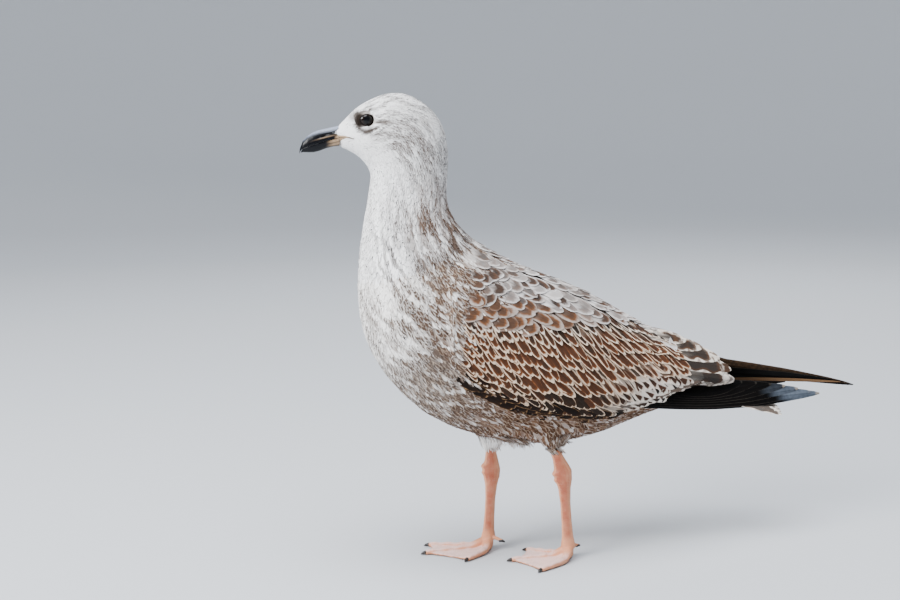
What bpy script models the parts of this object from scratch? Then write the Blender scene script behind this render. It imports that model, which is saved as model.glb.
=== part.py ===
"""A young herring gull standing on both feet, life size, as a still museum model.

The bird faces -X with its left side toward -Y. The floor is z = 0 and the origin lies under
the middle of the whole bird. Head, neck, trunk and tail are one lofted body parted by thin
cuts. Wings, thighs and flight feathers are lofts that the body cuts to fit.
"""
import math

import bmesh
import bpy
from mathutils import Matrix, Vector

MM = 0.001
GAP = 0.3 * MM                # clearance between neighbouring pieces
BODY_SHIFT = -96.8 * MM       # moves the bird so that the origin is under its middle

# Body: one row for each station from the bill's base to the tail's base, in mm.
# (back x, back z, belly x, belly z, half width, share of the head's turn)
STATIONS = (
    (-143.5, 389.5, -142.5, 371.0, 8.5, 1.0),
    (-137.5, 395.5, -134.0, 367.0, 13.0, 1.0),
    (-130.5, 402.5, -127.0, 362.5, 17.5, 1.0),
    (-121.5, 408.5, -121.5, 356.5, 21.0, 1.0),
    (-108.0, 414.5, -118.0, 350.5, 23.5, 1.0),
    (-93.0, 416.5, -117.0, 344.0, 25.0, 1.0),
    (-77.0, 411.5, -118.0, 337.0, 25.5, 1.0),
    (-62.0, 399.0, -119.5, 329.0, 25.5, 0.95),
    (-53.0, 382.0, -121.0, 320.0, 25.5, 0.85),
    (-50.5, 362.0, -123.0, 310.0, 26.0, 0.7),
    (-51.5, 342.0, -125.0, 298.0, 27.5, 0.5),
    (-51.5, 325.0, -127.0, 283.0, 30.5, 0.3),
    (-46.0, 311.0, -128.5, 265.0, 35.5, 0.1),
    (-36.0, 298.0, -128.5, 243.0, 42.0, 0.0),
    (-20.0, 285.5, -125.5, 217.0, 47.5, 0.0),
    (2.0, 273.0, -115.5, 189.0, 51.5, 0.0),
    (28.0, 261.5, -95.0, 160.0, 54.0, 0.0),
    (56.0, 250.5, -62.0, 132.0, 55.0, 0.0),
    (84.0, 237.0, -15.0, 112.0, 54.5, 0.0),
    (110.0, 220.0, 35.0, 103.0, 51.0, 0.0),
    (132.0, 202.0, 80.0, 106.5, 44.0, 0.0),
    (152.0, 184.0, 115.0, 116.0, 35.0, 0.0),
    (172.0, 168.0, 144.0, 124.0, 26.0, 0.0),
    (190.0, 156.5, 170.0, 130.0, 20.0, 0.0),
    (204.0, 149.0, 192.0, 133.0, 17.0, 0.0),
)
HEAD_END = 8.0                # stations where the body is parted
NECK_END = 12.0
TRUNK_END = 21.5
HEAD_TURN = math.radians(-14.0)
HEAD_PIVOT_X = -85.0
RING_SIDES = 24
RING_SQUARENESS = 2.15        # 2 is an ellipse
CHEEK_SAG = 0.10              # how much wider a ring is below its middle

# Eyes, in the head's own frame (mm ahead of the pivot, to the side, up).
EYE_PLACE = (38.0, 13.2, 394.0)
EYE_RADIUS = 7.4

# Bill, in the head's own frame: one row for each station from base to tip, in mm.
# (ahead, culmen z, mouth line z, lower edge z, half width)
BILL_STATIONS = (
    (58.8, 389.0, 378.6, 371.6, 6.9),
    (64.0, 387.6, 377.5, 371.1, 6.3),
    (70.0, 386.4, 376.1, 369.6, 5.8),
    (76.0, 385.1, 374.4, 367.4, 5.3),
    (81.0, 383.2, 373.0, 366.2, 4.8),
    (86.0, 380.2, 371.4, 366.2, 4.1),
    (90.0, 376.0, 369.8, 366.4, 3.2),
)
BILL_TIP = (94.0, 365.6)
BILL_SIDES = 16

# Folded wing: one row for each cross-section from wrist to rear, in mm.
# (x, top side, top z, bottom side, bottom z, bulge, thickness)
WING_STATIONS = (
    (-66.0, 46.0, 244.0, 46.0, 190.0, 2.0, 6.0),
    (-60.0, 44.0, 252.0, 49.0, 182.0, 5.0, 14.0),
    (-46.0, 38.0, 262.0, 53.0, 170.0, 9.0, 18.0),
    (-24.0, 29.0, 268.0, 55.0, 158.0, 14.0, 20.0),
    (4.0, 21.0, 268.0, 55.0, 147.5, 20.0, 22.0),
    (36.0, 14.0, 259.5, 54.0, 139.5, 23.5, 22.0),
    (66.0, 10.0, 247.0, 51.0, 135.5, 24.0, 20.0),
    (96.0, 11.0, 229.0, 47.0, 135.0, 21.0, 16.0),
    (124.0, 15.0, 209.0, 42.5, 138.5, 16.5, 10.0),
    (150.0, 19.0, 190.0, 38.0, 143.0, 11.5, 6.0),
    (174.0, 21.5, 175.0, 33.5, 148.0, 7.0, 4.0),
    (190.0, 23.5, 165.0, 29.0, 152.0, 3.0, 3.0),
)
WING_SIDES = 11
EDGE_THICKNESS = 0.8
EDGE_RISE = 1.6               # how far the wing stands off the body at its edges
WING_RISE = 5.0               # and at its middle

# Tertials: the long inner feathers over the folded wing's rear, in mm, in the same columns.
TERTIAL_STATIONS = (
    (78.0, 3.0, 244.0, 17.0, 238.0, 2.0, 3.0),
    (98.0, 3.0, 233.0, 32.0, 212.0, 3.5, 5.0),
    (120.0, 3.0, 221.0, 37.5, 192.0, 5.0, 5.0),
    (144.0, 3.0, 208.5, 40.5, 174.0, 6.0, 5.0),
    (168.0, 3.0, 198.5, 39.0, 160.0, 7.0, 4.5),
    (192.0, 3.5, 187.0, 33.0, 151.0, 6.5, 4.0),
    (214.0, 5.0, 175.5, 27.0, 148.0, 5.0, 3.5),
    (228.0, 8.0, 165.0, 22.0, 149.0, 2.5, 3.0),
    (236.0, 12.5, 157.0, 17.0, 152.0, 1.0, 1.5),
)
TERTIAL_SIDES = 8

# Primaries: the dark wing tip, a blade that leans in over the tail, in the same columns.
PRIMARY_STATIONS = (
    (122.0, 31.0, 147.0, 39.0, 134.5, 1.0, 2.5),
    (150.0, 24.0, 151.0, 36.5, 132.0, 2.0, 3.0),
    (180.0, 17.0, 153.0, 32.5, 128.0, 2.5, 3.2),
    (212.0, 11.0, 151.0, 27.0, 125.5, 2.5, 3.0),
    (244.0, 7.0, 146.0, 22.0, 125.5, 2.0, 2.8),
    (276.0, 4.5, 141.5, 14.5, 126.0, 1.5, 2.4),
    (304.0, 3.5, 136.5, 8.5, 126.5, 1.0, 2.0),
    (322.0, 3.2, 132.0, 5.5, 126.5, 0.6, 1.6),
    (334.0, 3.4, 128.5, 4.2, 126.0, 0.2, 1.2),
)
PRIMARY_SIDES = 7
RIGHT_TIP_REACH = 36.0        # the right wing tip lies this much further back
RIGHT_TIP_LIFT = 10.0         # and this much higher

# Tail fan, an arched roof of feathers: (x, middle z, half width, half thickness)
TAIL_STATIONS = (
    (165.0, 145.0, 10.0, 1.6),
    (190.0, 141.5, 16.0, 2.0),
    (217.0, 136.0, 20.5, 1.8),
    (247.0, 129.0, 24.0, 1.5),
    (277.0, 122.0, 26.5, 1.2),
    (286.0, 120.0, 24.0, 0.8),
)
TAIL_ARCH = 7.0               # the middle of the fan stands this much above its edges
TAIL_SIDES = 16

# Legs: the bird stands with its right foot ahead of its left one, in mm.
LEGS = {
    "left": dict(side=-28.0, hip=(34.0, 128.0), feather_end=(42.5, 101.5),
                 ankle=(51.0, 80.0), joint=(56.5, 10.0),
                 toes=(("outer", -37.0, 47.0), ("middle", 9.0, 50.0), ("inner", 50.0, 40.0))),
    "right": dict(side=23.0, hip=(-7.0, 128.0), feather_end=(1.0, 99.5),
                  ankle=(2.5, 75.0), joint=(-1.0, 10.0),
                  toes=(("inner", -42.0, 40.0), ("middle", 4.0, 57.0), ("outer", 30.0, 53.0))),
}
LEG_SIDES = 12
THIGH_RADII = (21.0, 17.0, 11.0, 6.2)
# Share of the way down, fore-and-aft radius, sideways radius, from thigh to ankle to toes.
TIBIA_SECTIONS = ((0.0, 5.0, 4.0), (0.35, 5.2, 4.0), (0.75, 7.2, 4.6), (1.0, 8.2, 5.2))
TARSUS_SECTIONS = ((0.1, 7.8, 5.0), (0.22, 5.9, 4.1), (0.4, 4.9, 3.3), (0.65, 4.9, 3.2),
                   (0.85, 5.5, 3.7), (0.95, 6.8, 4.6), (1.0, 7.0, 5.0))

# Feet: a flat webbed sole with the toes raised on it, in mm.
HEEL_RADIUS = 8.0
KNUCKLE_HEIGHT = 9.4
KNUCKLE_SPREAD = 9.0
WEB_THICKNESS = 1.3
WEB_NOTCH = 0.74              # the web's edge between two toes, as a share of their length
TOE_HEIGHT = 3.9
TOE_HALF_WIDTH = 3.3
CLAW_LENGTH = 8.0
CLAW_RADIUS = 1.9
HIND_TOE_LENGTH = 5.0
HIND_TOE_RADIUS = 2.2
HIND_TOE_HEIGHT = 12.5
HIND_TOE_START = 6.6          # from the middle of the shank
HIND_TOE_TURN = 35.0          # degrees from straight back toward the other leg

# Colour (linear RGB) and roughness of each finish.
FINISHES = {
    "pale plumage": ((0.66, 0.64, 0.62), 0.85),
    "mottled plumage": ((0.42, 0.37, 0.32), 0.85),
    "brown plumage": ((0.16, 0.09, 0.05), 0.85),
    "black plumage": ((0.015, 0.013, 0.013), 0.6),
    "dark bill horn": ((0.03, 0.03, 0.033), 0.35),
    "dark eye": ((0.006, 0.005, 0.005), 0.08),
    "pink leg skin": ((0.62, 0.33, 0.27), 0.55),
    "black claw horn": ((0.012, 0.011, 0.011), 0.35),
}


def clear_scene():
    for old in list(bpy.data.objects):
        bpy.data.objects.remove(old, do_unlink=True)


def new_collection(name):
    collection = bpy.data.collections.new(name)
    bpy.context.scene.collection.children.link(collection)
    return collection


def finish(name):
    material = bpy.data.materials.get(name)
    if material is None:
        colour, roughness = FINISHES[name]
        material = bpy.data.materials.new(name)
        material.use_nodes = True
        shader = material.node_tree.nodes["Principled BSDF"]
        shader.inputs["Base Color"].default_value = (*colour, 1.0)
        shader.inputs["Roughness"].default_value = roughness
        shader.inputs["Metallic"].default_value = 0.0
    return material


def smooth_row(rows, t):
    """The row at place t along a table of rows, on a smooth curve through them all."""
    last = len(rows) - 1
    i = min(int(t), last - 1)
    u = t - i
    a = rows[max(i - 1, 0)]
    b = rows[i]
    c = rows[i + 1]
    d = rows[min(i + 2, last)]
    return [
        0.5 * (2 * q + (r - p) * u + (2 * p - 5 * q + 4 * r - s) * u * u
               + (3 * q - p - 3 * r + s) * u ** 3)
        for p, q, r, s in zip(a, b, c, d)
    ]


def steps(start, end, count):
    return [start + (end - start) * i / (count - 1) for i in range(count)]


def loft(name, rings, collection, material):
    """One closed body through rings of equal length, closed by a flat face at each end."""
    shape = bmesh.new()
    loops = [[shape.verts.new(point) for point in ring] for ring in rings]
    for near, far in zip(loops, loops[1:]):
        for i, corner in enumerate(near):
            j = (i + 1) % len(near)
            shape.faces.new((corner, near[j], far[j], far[i]))
    shape.faces.new(loops[0])
    shape.faces.new(loops[-1])
    bmesh.ops.recalc_face_normals(shape, faces=shape.faces)
    mesh = bpy.data.meshes.new(name)
    shape.to_mesh(mesh)
    shape.free()
    mesh.materials.append(finish(material))
    mesh.shade_smooth()
    piece = bpy.data.objects.new(name, mesh)
    collection.objects.link(piece)
    return piece


def cut(piece, cutter):
    modifier = piece.modifiers.new("cut by " + cutter.name, "BOOLEAN")
    modifier.operation = "DIFFERENCE"
    modifier.solver = "EXACT"
    modifier.object = cutter


def as_cutter(piece):
    piece.hide_render = True
    piece.display_type = "WIRE"
    return piece


# Body ------------------------------------------------------------------------------------


def turned(x, y, z, share):
    """A point of the head or neck after the head's turn about its upright pivot."""
    angle = HEAD_TURN * share
    dx = x - HEAD_PIVOT_X
    return Vector((
        HEAD_PIVOT_X + dx * math.cos(angle) - y * math.sin(angle),
        dx * math.sin(angle) + y * math.cos(angle),
        z,
    )) * MM + Vector((BODY_SHIFT, 0, 0))


def body_ring(t, grow=0.0):
    back_x, back_z, belly_x, belly_z, half_width, share = smooth_row(STATIONS, t)
    middle = Vector(((back_x + belly_x) / 2, (back_z + belly_z) / 2))
    up = Vector((back_x, back_z)) - middle
    up = up.normalized() * (up.length + grow / MM)
    half_width += grow / MM
    ring = []
    for i in range(RING_SIDES):
        angle = math.tau * i / RING_SIDES
        rise = math.copysign(abs(math.cos(angle)) ** (2 / RING_SQUARENESS), math.cos(angle))
        side = math.copysign(abs(math.sin(angle)) ** (2 / RING_SQUARENESS), math.sin(angle))
        place = middle + up * rise
        width = half_width * side * (1 - CHEEK_SAG * math.cos(angle))
        ring.append(turned(place.x, width, place.y, min(max(share, 0.0), 1.0)))
    return ring


def body_half_width(x, z):
    """Half the body's width at a point of its side view, or 0 off the body."""

    def beside(t):
        back_x, back_z, belly_x, belly_z = smooth_row(STATIONS, t)[:4]
        return (belly_x - back_x) * (z - back_z) - (belly_z - back_z) * (x - back_x)

    places = steps(9.0, len(STATIONS) - 1.0, 61)
    for low, high in zip(places, places[1:]):
        if beside(low) * beside(high) <= 0:
            break
    else:
        return 0.0
    share = beside(low) / (beside(low) - beside(high))
    back_x, back_z, belly_x, belly_z, half_width, _ = smooth_row(STATIONS, low + (high - low) * share)
    up = Vector((back_x - belly_x, back_z - belly_z)) / 2
    rise = (Vector((x, z)) - Vector((belly_x, belly_z)) - up).dot(up) / up.length_squared
    if abs(rise) >= 1:
        return 0.0
    rounding = (1 - abs(rise) ** RING_SQUARENESS) ** (1 / RING_SQUARENESS)
    slope = math.copysign(abs(rise) ** (RING_SQUARENESS / 2), rise)
    return half_width * rounding * (1 - CHEEK_SAG * slope)


def body_top(x, y):
    """Height of the body's back at a distance from the middle plane."""
    low, high = 190.0, 290.0
    if body_half_width(x, low) < y:
        return 0.0
    for _ in range(24):
        middle = (low + high) / 2
        if body_half_width(x, middle) > y:
            low = middle
        else:
            high = middle
    return low


def body_piece(name, start, end, count, collection, material, grow=0.0):
    rings = [body_ring(t, grow) for t in steps(start, end, count)]
    return loft(name, rings, collection, material)


def eyeball(name, side, radius, collection, material):
    ahead, aside, height = EYE_PLACE
    place = turned(HEAD_PIVOT_X - ahead, side * aside, height, 1.0)
    shape = bmesh.new()
    bmesh.ops.create_uvsphere(
        shape, u_segments=12, v_segments=8, radius=radius * MM,
        matrix=Matrix.Translation(place),
    )
    mesh = bpy.data.meshes.new(name)
    shape.to_mesh(mesh)
    shape.free()
    mesh.materials.append(finish(material))
    mesh.shade_smooth()
    ball = bpy.data.objects.new(name, mesh)
    collection.objects.link(ball)
    return ball


def bill_half(name, upper, collection):
    """The upper or lower half of the bill, parted along the mouth line."""
    rings = []
    for ahead, culmen, mouth, lower, half_width in BILL_STATIONS:
        if upper:
            edge, far = mouth + GAP / MM / 2, culmen
        else:
            edge, far = mouth - GAP / MM / 2, lower
            half_width *= 0.9
        ring = []
        for i in range(BILL_SIDES):
            angle = math.pi * i / (BILL_SIDES - 1)
            side = half_width * math.cos(angle)
            height = edge + (far - edge) * math.sin(angle) ** 0.8
            ring.append(turned(HEAD_PIVOT_X - ahead, side, height, 1.0))
        rings.append(ring)
    tip_ahead, tip_height = BILL_TIP
    if not upper:
        tip_ahead -= 2.2
        tip_height += 0.6
    tip = turned(HEAD_PIVOT_X - tip_ahead, 0.0, tip_height, 1.0)
    middle = sum(rings[-1], Vector()) / BILL_SIDES
    rings.append([tip + (corner - middle) * 0.18 for corner in rings[-1]])
    return loft(name, rings, collection, "dark bill horn")


# Wings and tail --------------------------------------------------------------------------


def shell_rings(rows, sides, count, side, grow=0.0, reach=0.0, lift=0.0, worn=False):
    """Upright cross-sections of a shell along the bird's side, drawn out at its rear end.

    A worn shell lies on the body: its upper edge and outer side stay clear of it.
    """
    rings = []
    extra = grow / MM
    start = rows[0][0]
    span = rows[-1][0] - start
    for t in steps(0, len(rows) - 1, count):
        x, top_y, top_z, low_y, low_z, bulge, thickness = smooth_row(rows, t)
        share = (x - start) / span
        x += reach * share
        top_z += lift * min(1.0, 2.0 * share)
        low_z += lift * min(1.0, 2.0 * share)
        if worn:
            top_z = max(top_z, body_top(x, top_y) + EDGE_RISE)
        outer = []
        inner = []
        for i in range(sides):
            along = i / (sides - 1)
            arch = math.sin(math.pi * along)
            y = top_y + (low_y - top_y) * along + bulge * arch ** 0.8
            if worn:
                clear = EDGE_RISE + (WING_RISE - EDGE_RISE) * arch ** 0.5
                bare_z = top_z + (low_z - top_z) * along
                y = max(y, body_half_width(x, bare_z) + clear)
            z = top_z + extra + (low_z - top_z - 2 * extra) * along
            wall = EDGE_THICKNESS + max(thickness - EDGE_THICKNESS, 0.0) * arch ** 0.4
            outer.append((y + extra, z))
            inner.append((y - wall - extra, z))
        ring = outer + inner[::-1]
        rings.append([Vector((x * MM + BODY_SHIFT, side * y * MM, z * MM)) for y, z in ring])
    return rings


def tail_rings(grow=0.0):
    rings = []
    extra = grow / MM
    widest = max(row[2] for row in TAIL_STATIONS)
    for t in steps(0, len(TAIL_STATIONS) - 1, 10):
        x, middle, half_width, half_thickness = smooth_row(TAIL_STATIONS, t)
        ring = []
        for i in range(TAIL_SIDES):
            angle = math.tau * i / TAIL_SIDES
            across = math.cos(angle)
            fall = TAIL_ARCH * across * across * half_width / widest
            y = (half_width + extra) * across
            z = middle - fall + (half_thickness + extra) * math.sin(angle)
            ring.append(Vector((x * MM + BODY_SHIFT, y * MM, z * MM)))
        rings.append(ring)
    return rings


# Legs and feet ---------------------------------------------------------------------------


def limb_ring(x, y, z, fore_radius, side_radius, down):
    """A ring around a limb that runs along the direction `down` in the bird's side view."""
    fore = Vector((-down.y, down.x))
    ring = []
    for i in range(LEG_SIDES):
        angle = math.tau * i / LEG_SIDES
        ahead = fore * fore_radius * math.cos(angle)
        ring.append(Vector((
            (x + ahead.x) * MM + BODY_SHIFT,
            (y + side_radius * math.sin(angle)) * MM,
            (z + ahead.y) * MM,
        )))
    return ring


def thigh(name, leg, collection, body):
    hip = Vector(leg["hip"])
    end = Vector(leg["feather_end"])
    down = (end - hip).normalized()
    shin = (Vector(leg["ankle"]) - end).normalized()
    rings = []
    for share, radius in zip(steps(0.0, 1.0, len(THIGH_RADII)), THIGH_RADII):
        place = hip.lerp(end, share)
        bend = down.lerp(shin, share).normalized()
        rings.append(limb_ring(place.x, leg["side"], place.y, radius, radius * 0.8, bend))
    piece = loft(name, rings, collection, "pale plumage")
    cut(piece, body)
    return piece


def bare_leg(name, leg, collection):
    """Shin, ankle and shank down to the top of the foot."""
    top = Vector(leg["feather_end"])
    ankle = Vector(leg["ankle"])
    joint = Vector(leg["joint"])
    shin = (ankle - top).normalized()
    shank = (joint - ankle).normalized()
    top += shin * GAP / MM
    rings = []
    for share, fore, aside in TIBIA_SECTIONS:
        place = top.lerp(ankle, share)
        bend = shin.lerp(shank, 0.5 * share * share).normalized()
        rings.append(limb_ring(place.x, leg["side"], place.y, fore, aside, bend))
    for share, fore, aside in TARSUS_SECTIONS:
        place = ankle.lerp(joint, share)
        bend = shank if share < 0.9 else shank.lerp(Vector((0.0, -1.0)), (share - 0.9) * 10)
        rings.append(limb_ring(place.x, leg["side"], place.y, fore, aside, bend.normalized()))
    return loft(name, rings, collection, "pink leg skin")


def toe_direction(degrees):
    """Toes at 0 degrees point straight ahead; positive angles turn to the bird's right."""
    angle = math.radians(degrees)
    return Vector((-math.cos(angle), math.sin(angle)))


def sole_reach(degrees, toes):
    """How far the sole reaches from the joint in one direction."""
    angles = [toe[1] for toe in toes]
    lengths = [toe[2] for toe in toes]
    if degrees <= angles[0] or degrees >= angles[-1]:
        end = 0 if degrees <= angles[0] else -1
        past = abs(degrees - angles[end])
        edge = TOE_HALF_WIDTH / math.sin(math.radians(min(max(past, 4.0), 90.0)))
        return max(HEEL_RADIUS, min(lengths[end], edge))
    gap = 0 if degrees < angles[1] else 1
    share = (degrees - angles[gap]) / (angles[gap + 1] - angles[gap])
    straight = lengths[gap] + (lengths[gap + 1] - lengths[gap]) * share
    notch = 1 - (1 - WEB_NOTCH) * math.sin(math.pi * share) ** 0.5
    return straight * notch


def sole_directions(toes):
    """The directions, in degrees, along which the sole is drawn."""
    first, middle, last = (toe[1] for toe in toes)
    inside = [first + (middle - first) * k for k in (0.0, 0.1, 0.3, 0.5, 0.7, 0.9)]
    outside = [middle + (last - middle) * k for k in (0.0, 0.1, 0.3, 0.5, 0.7, 0.9, 1.0)]
    rear = [last + step for step in (5.0, 12.0, 25.0, 55.0, 95.0)]
    turn = 360 - (last - first)
    rear += [last + turn - step for step in (95.0, 55.0, 25.0, 12.0, 5.0)]
    return inside + outside + rear


def sole_height(ahead, degrees, toes, reach):
    """Height of the foot's upper side at a distance and direction from the joint."""
    knuckle = KNUCKLE_HEIGHT * math.exp(-((ahead / KNUCKLE_SPREAD) ** 2))
    height = WEB_THICKNESS + knuckle
    for _, angle, length in toes:
        off = math.radians(min(abs(degrees - angle), 90.0))
        aside = ahead * math.sin(off)
        taper = 1 - 0.35 * ahead / length
        ridge = (TOE_HEIGHT * taper - WEB_THICKNESS) * math.exp(-((aside / TOE_HALF_WIDTH) ** 2))
        height = max(height, WEB_THICKNESS + ridge + knuckle * 0.6)
    return min(height, KNUCKLE_HEIGHT)


def foot(name, leg, collection):
    """A webbed foot: a flat sole, thin webs and raised toes, drawn outward from the joint."""
    toes = leg["toes"]
    origin = Vector((leg["joint"][0], leg["side"]))
    shares = (0.22, 0.42, 0.62, 0.82, 0.95)
    shape = bmesh.new()

    def corner(x, y, z):
        return shape.verts.new((x * MM + BODY_SHIFT, y * MM, z * MM))

    directions = sole_directions(toes)
    top = [corner(origin.x, origin.y, KNUCKLE_HEIGHT)]
    low = [corner(origin.x, origin.y, 0.0)]
    upper = []
    lower = []
    for degrees in directions:
        bearing = degrees if degrees <= 180 else degrees - 360
        reach = sole_reach(bearing, toes)
        pointing = toe_direction(bearing)
        spokes = []
        for share in shares:
            place = origin + pointing * reach * share
            height = sole_height(reach * share, bearing, toes, reach)
            spokes.append(corner(place.x, place.y, height))
        rim = origin + pointing * reach
        edge = corner(rim.x, rim.y, WEB_THICKNESS * 0.5)
        flat = origin + pointing * (reach - 0.5)
        upper.append(spokes + [edge])
        lower.append(corner(flat.x, flat.y, 0.0))
    for i, spokes in enumerate(upper):
        other = upper[(i + 1) % len(upper)]
        shape.faces.new((top[0], spokes[0], other[0]))
        for k in range(len(shares)):
            shape.faces.new((spokes[k], spokes[k + 1], other[k + 1], other[k]))
        j = (i + 1) % len(lower)
        shape.faces.new((spokes[-1], lower[i], lower[j], other[-1]))
        shape.faces.new((lower[i], low[0], lower[j]))
    bmesh.ops.recalc_face_normals(shape, faces=shape.faces)
    mesh = bpy.data.meshes.new(name)
    shape.to_mesh(mesh)
    shape.free()
    mesh.materials.append(finish("pink leg skin"))
    mesh.shade_smooth()
    piece = bpy.data.objects.new(name, mesh)
    collection.objects.link(piece)
    return piece


def claw(name, start, pointing, length, radius, drop, collection):
    """A curved claw that leaves its toe at `start` and points along the floor."""
    rings = []
    aside = Vector((-pointing.y, pointing.x, 0.0))
    for share in (0.0, 0.3, 0.6, 0.85, 1.0):
        size = radius * (1 - share) ** 0.6 + 0.25
        place = start + Vector((pointing.x, pointing.y, 0.0)) * length * share
        place.z = max(start.z - drop * share * share, size)
        ring = []
        for i in range(8):
            angle = math.tau * i / 8
            spot = place + aside * size * math.cos(angle)
            spot.z += size * math.sin(angle)
            ring.append(Vector((spot.x * MM + BODY_SHIFT, spot.y * MM, spot.z * MM)))
        rings.append(ring)
    return loft(name, rings, collection, "black claw horn")


def toes_and_claws(side_name, leg, collection):
    origin = Vector((leg["joint"][0], leg["side"]))
    for toe, degrees, length in leg["toes"]:
        pointing = toe_direction(degrees)
        start = origin + pointing * (length + GAP / MM)
        claw("claw_" + side_name + "_" + toe, Vector((start.x, start.y, 2.1)),
             pointing, CLAW_LENGTH, CLAW_RADIUS, 1.2, collection)
    inward = HIND_TOE_TURN if leg["side"] > 0 else -HIND_TOE_TURN
    back = -toe_direction(leg["toes"][1][1] + inward)
    start = origin + back * (HIND_TOE_START + GAP / MM)
    rings = []
    aside = Vector((-back.y, back.x, 0.0))
    for share in (0.0, 0.4, 0.8, 1.0):
        size = HIND_TOE_RADIUS * (1 - 0.35 * share)
        place = Vector((start.x, start.y, HIND_TOE_HEIGHT))
        place += Vector((back.x, back.y, 0.0)) * HIND_TOE_LENGTH * share
        place.z -= 2.5 * share
        ring = []
        for i in range(8):
            angle = math.tau * i / 8
            spot = place + aside * size * math.cos(angle)
            spot.z += size * math.sin(angle)
            ring.append(Vector((spot.x * MM + BODY_SHIFT, spot.y * MM, spot.z * MM)))
        rings.append(ring)
    loft("hind_toe_" + side_name, rings, collection, "pink leg skin")
    end = start + back * (HIND_TOE_LENGTH + GAP / MM)
    claw("claw_" + side_name + "_hind", Vector((end.x, end.y, HIND_TOE_HEIGHT - 2.6)),
         back, CLAW_LENGTH * 0.6, CLAW_RADIUS * 0.65, 2.0, collection)


# Assembly --------------------------------------------------------------------------------


def build():
    clear_scene()
    bird = new_collection("herring gull")
    cutters = new_collection("cutters")
    part_gap = 0.06           # in stations: about the cut's width at the shorter side

    head = body_piece("head", 0.0, HEAD_END, 15, bird, "pale plumage")
    body_piece("neck", HEAD_END + part_gap, NECK_END, 7, bird, "mottled plumage")
    body_piece("trunk", NECK_END + part_gap, TRUNK_END, 17, bird, "mottled plumage")
    body_piece("tail_base", TRUNK_END + part_gap, 24.0, 5, bird, "pale plumage")
    body = as_cutter(body_piece("body cutter", HEAD_END + 2, 24.0, 30, cutters,
                                "pale plumage", grow=1.5 * GAP))

    for side_name, side in (("left", -1), ("right", 1)):
        eyeball("eye_" + side_name, side, EYE_RADIUS, bird, "dark eye")
        socket = as_cutter(eyeball("socket cutter " + side_name, side,
                                   EYE_RADIUS + GAP / MM, cutters, "dark eye"))
        cut(head, socket)
    bill_half("bill_upper", True, bird)
    bill_half("bill_lower", False, bird)

    tail = loft("tail_feathers", tail_rings(), bird, "brown plumage")
    cut(tail, body)
    tail_cutter = as_cutter(loft("tail cutter", tail_rings(3 * GAP), cutters,
                                 "brown plumage"))
    for side_name, side in (("left", -1), ("right", 1)):
        rings = shell_rings(WING_STATIONS, WING_SIDES, 19, side, worn=True)
        wing = loft("wing_" + side_name, rings, bird, "brown plumage")
        cut(wing, body)
        rings = shell_rings(WING_STATIONS, WING_SIDES, 19, side, grow=3 * GAP, worn=True)
        wing_cutter = as_cutter(loft("wing cutter " + side_name, rings, cutters,
                                     "brown plumage"))
        rings = shell_rings(TERTIAL_STATIONS, TERTIAL_SIDES, 13, side)
        tertials = loft("tertials_" + side_name, rings, bird, "brown plumage")
        cut(tertials, wing_cutter)
        cut(tertials, body)
        rings = shell_rings(TERTIAL_STATIONS, TERTIAL_SIDES, 13, side, grow=2 * GAP)
        tertial_cutter = as_cutter(loft("tertial cutter " + side_name, rings, cutters,
                                        "brown plumage"))
        reach, lift = (RIGHT_TIP_REACH, RIGHT_TIP_LIFT) if side > 0 else (0.0, 0.0)
        rings = shell_rings(PRIMARY_STATIONS, PRIMARY_SIDES, 15, side, reach=reach, lift=lift)
        primaries = loft("primaries_" + side_name, rings, bird, "black plumage")
        for cutter in (wing_cutter, tertial_cutter, tail_cutter, body):
            cut(primaries, cutter)
        leg = LEGS[side_name]
        thigh("thigh_" + side_name, leg, bird, body)
        bare_leg("leg_" + side_name, leg, bird)
        foot("foot_" + side_name, leg, bird)
        toes_and_claws(side_name, leg, bird)


build()
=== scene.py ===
"""Looks of a young herring gull that stands on both feet, life size, as a still museum model.

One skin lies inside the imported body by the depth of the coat. Over it lie solid feathers:
small ones that follow the lie of the coat, then the rows of the wing, and the long feathers
of the wing tip and the tail. The bird faces -X and its left side is toward -Y.
"""
import itertools
import math
from functools import partial

import bmesh
import bpy
import numpy as np
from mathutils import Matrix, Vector
from mathutils.bvhtree import BVHTree


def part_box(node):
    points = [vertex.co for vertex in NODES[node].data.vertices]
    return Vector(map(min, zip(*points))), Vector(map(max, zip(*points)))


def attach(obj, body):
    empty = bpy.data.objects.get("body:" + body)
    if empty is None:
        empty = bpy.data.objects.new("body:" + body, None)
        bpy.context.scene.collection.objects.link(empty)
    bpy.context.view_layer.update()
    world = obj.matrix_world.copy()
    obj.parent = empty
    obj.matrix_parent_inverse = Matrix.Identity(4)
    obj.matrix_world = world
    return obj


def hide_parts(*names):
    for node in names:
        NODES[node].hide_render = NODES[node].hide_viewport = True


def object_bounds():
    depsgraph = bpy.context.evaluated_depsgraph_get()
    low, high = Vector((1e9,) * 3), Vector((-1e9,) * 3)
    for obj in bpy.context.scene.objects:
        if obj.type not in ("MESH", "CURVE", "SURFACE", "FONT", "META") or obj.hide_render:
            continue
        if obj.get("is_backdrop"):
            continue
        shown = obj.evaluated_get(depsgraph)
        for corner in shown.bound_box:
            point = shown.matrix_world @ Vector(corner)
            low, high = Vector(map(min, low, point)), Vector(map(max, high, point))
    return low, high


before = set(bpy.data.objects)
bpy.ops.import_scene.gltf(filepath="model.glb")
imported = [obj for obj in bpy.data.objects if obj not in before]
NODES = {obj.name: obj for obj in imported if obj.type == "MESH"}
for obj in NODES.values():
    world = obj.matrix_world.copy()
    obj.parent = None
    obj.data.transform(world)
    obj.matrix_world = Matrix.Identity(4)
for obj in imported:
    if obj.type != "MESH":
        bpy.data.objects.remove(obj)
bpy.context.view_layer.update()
MM = 0.001

# ---------------------------------------------------------------- numbers


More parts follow.
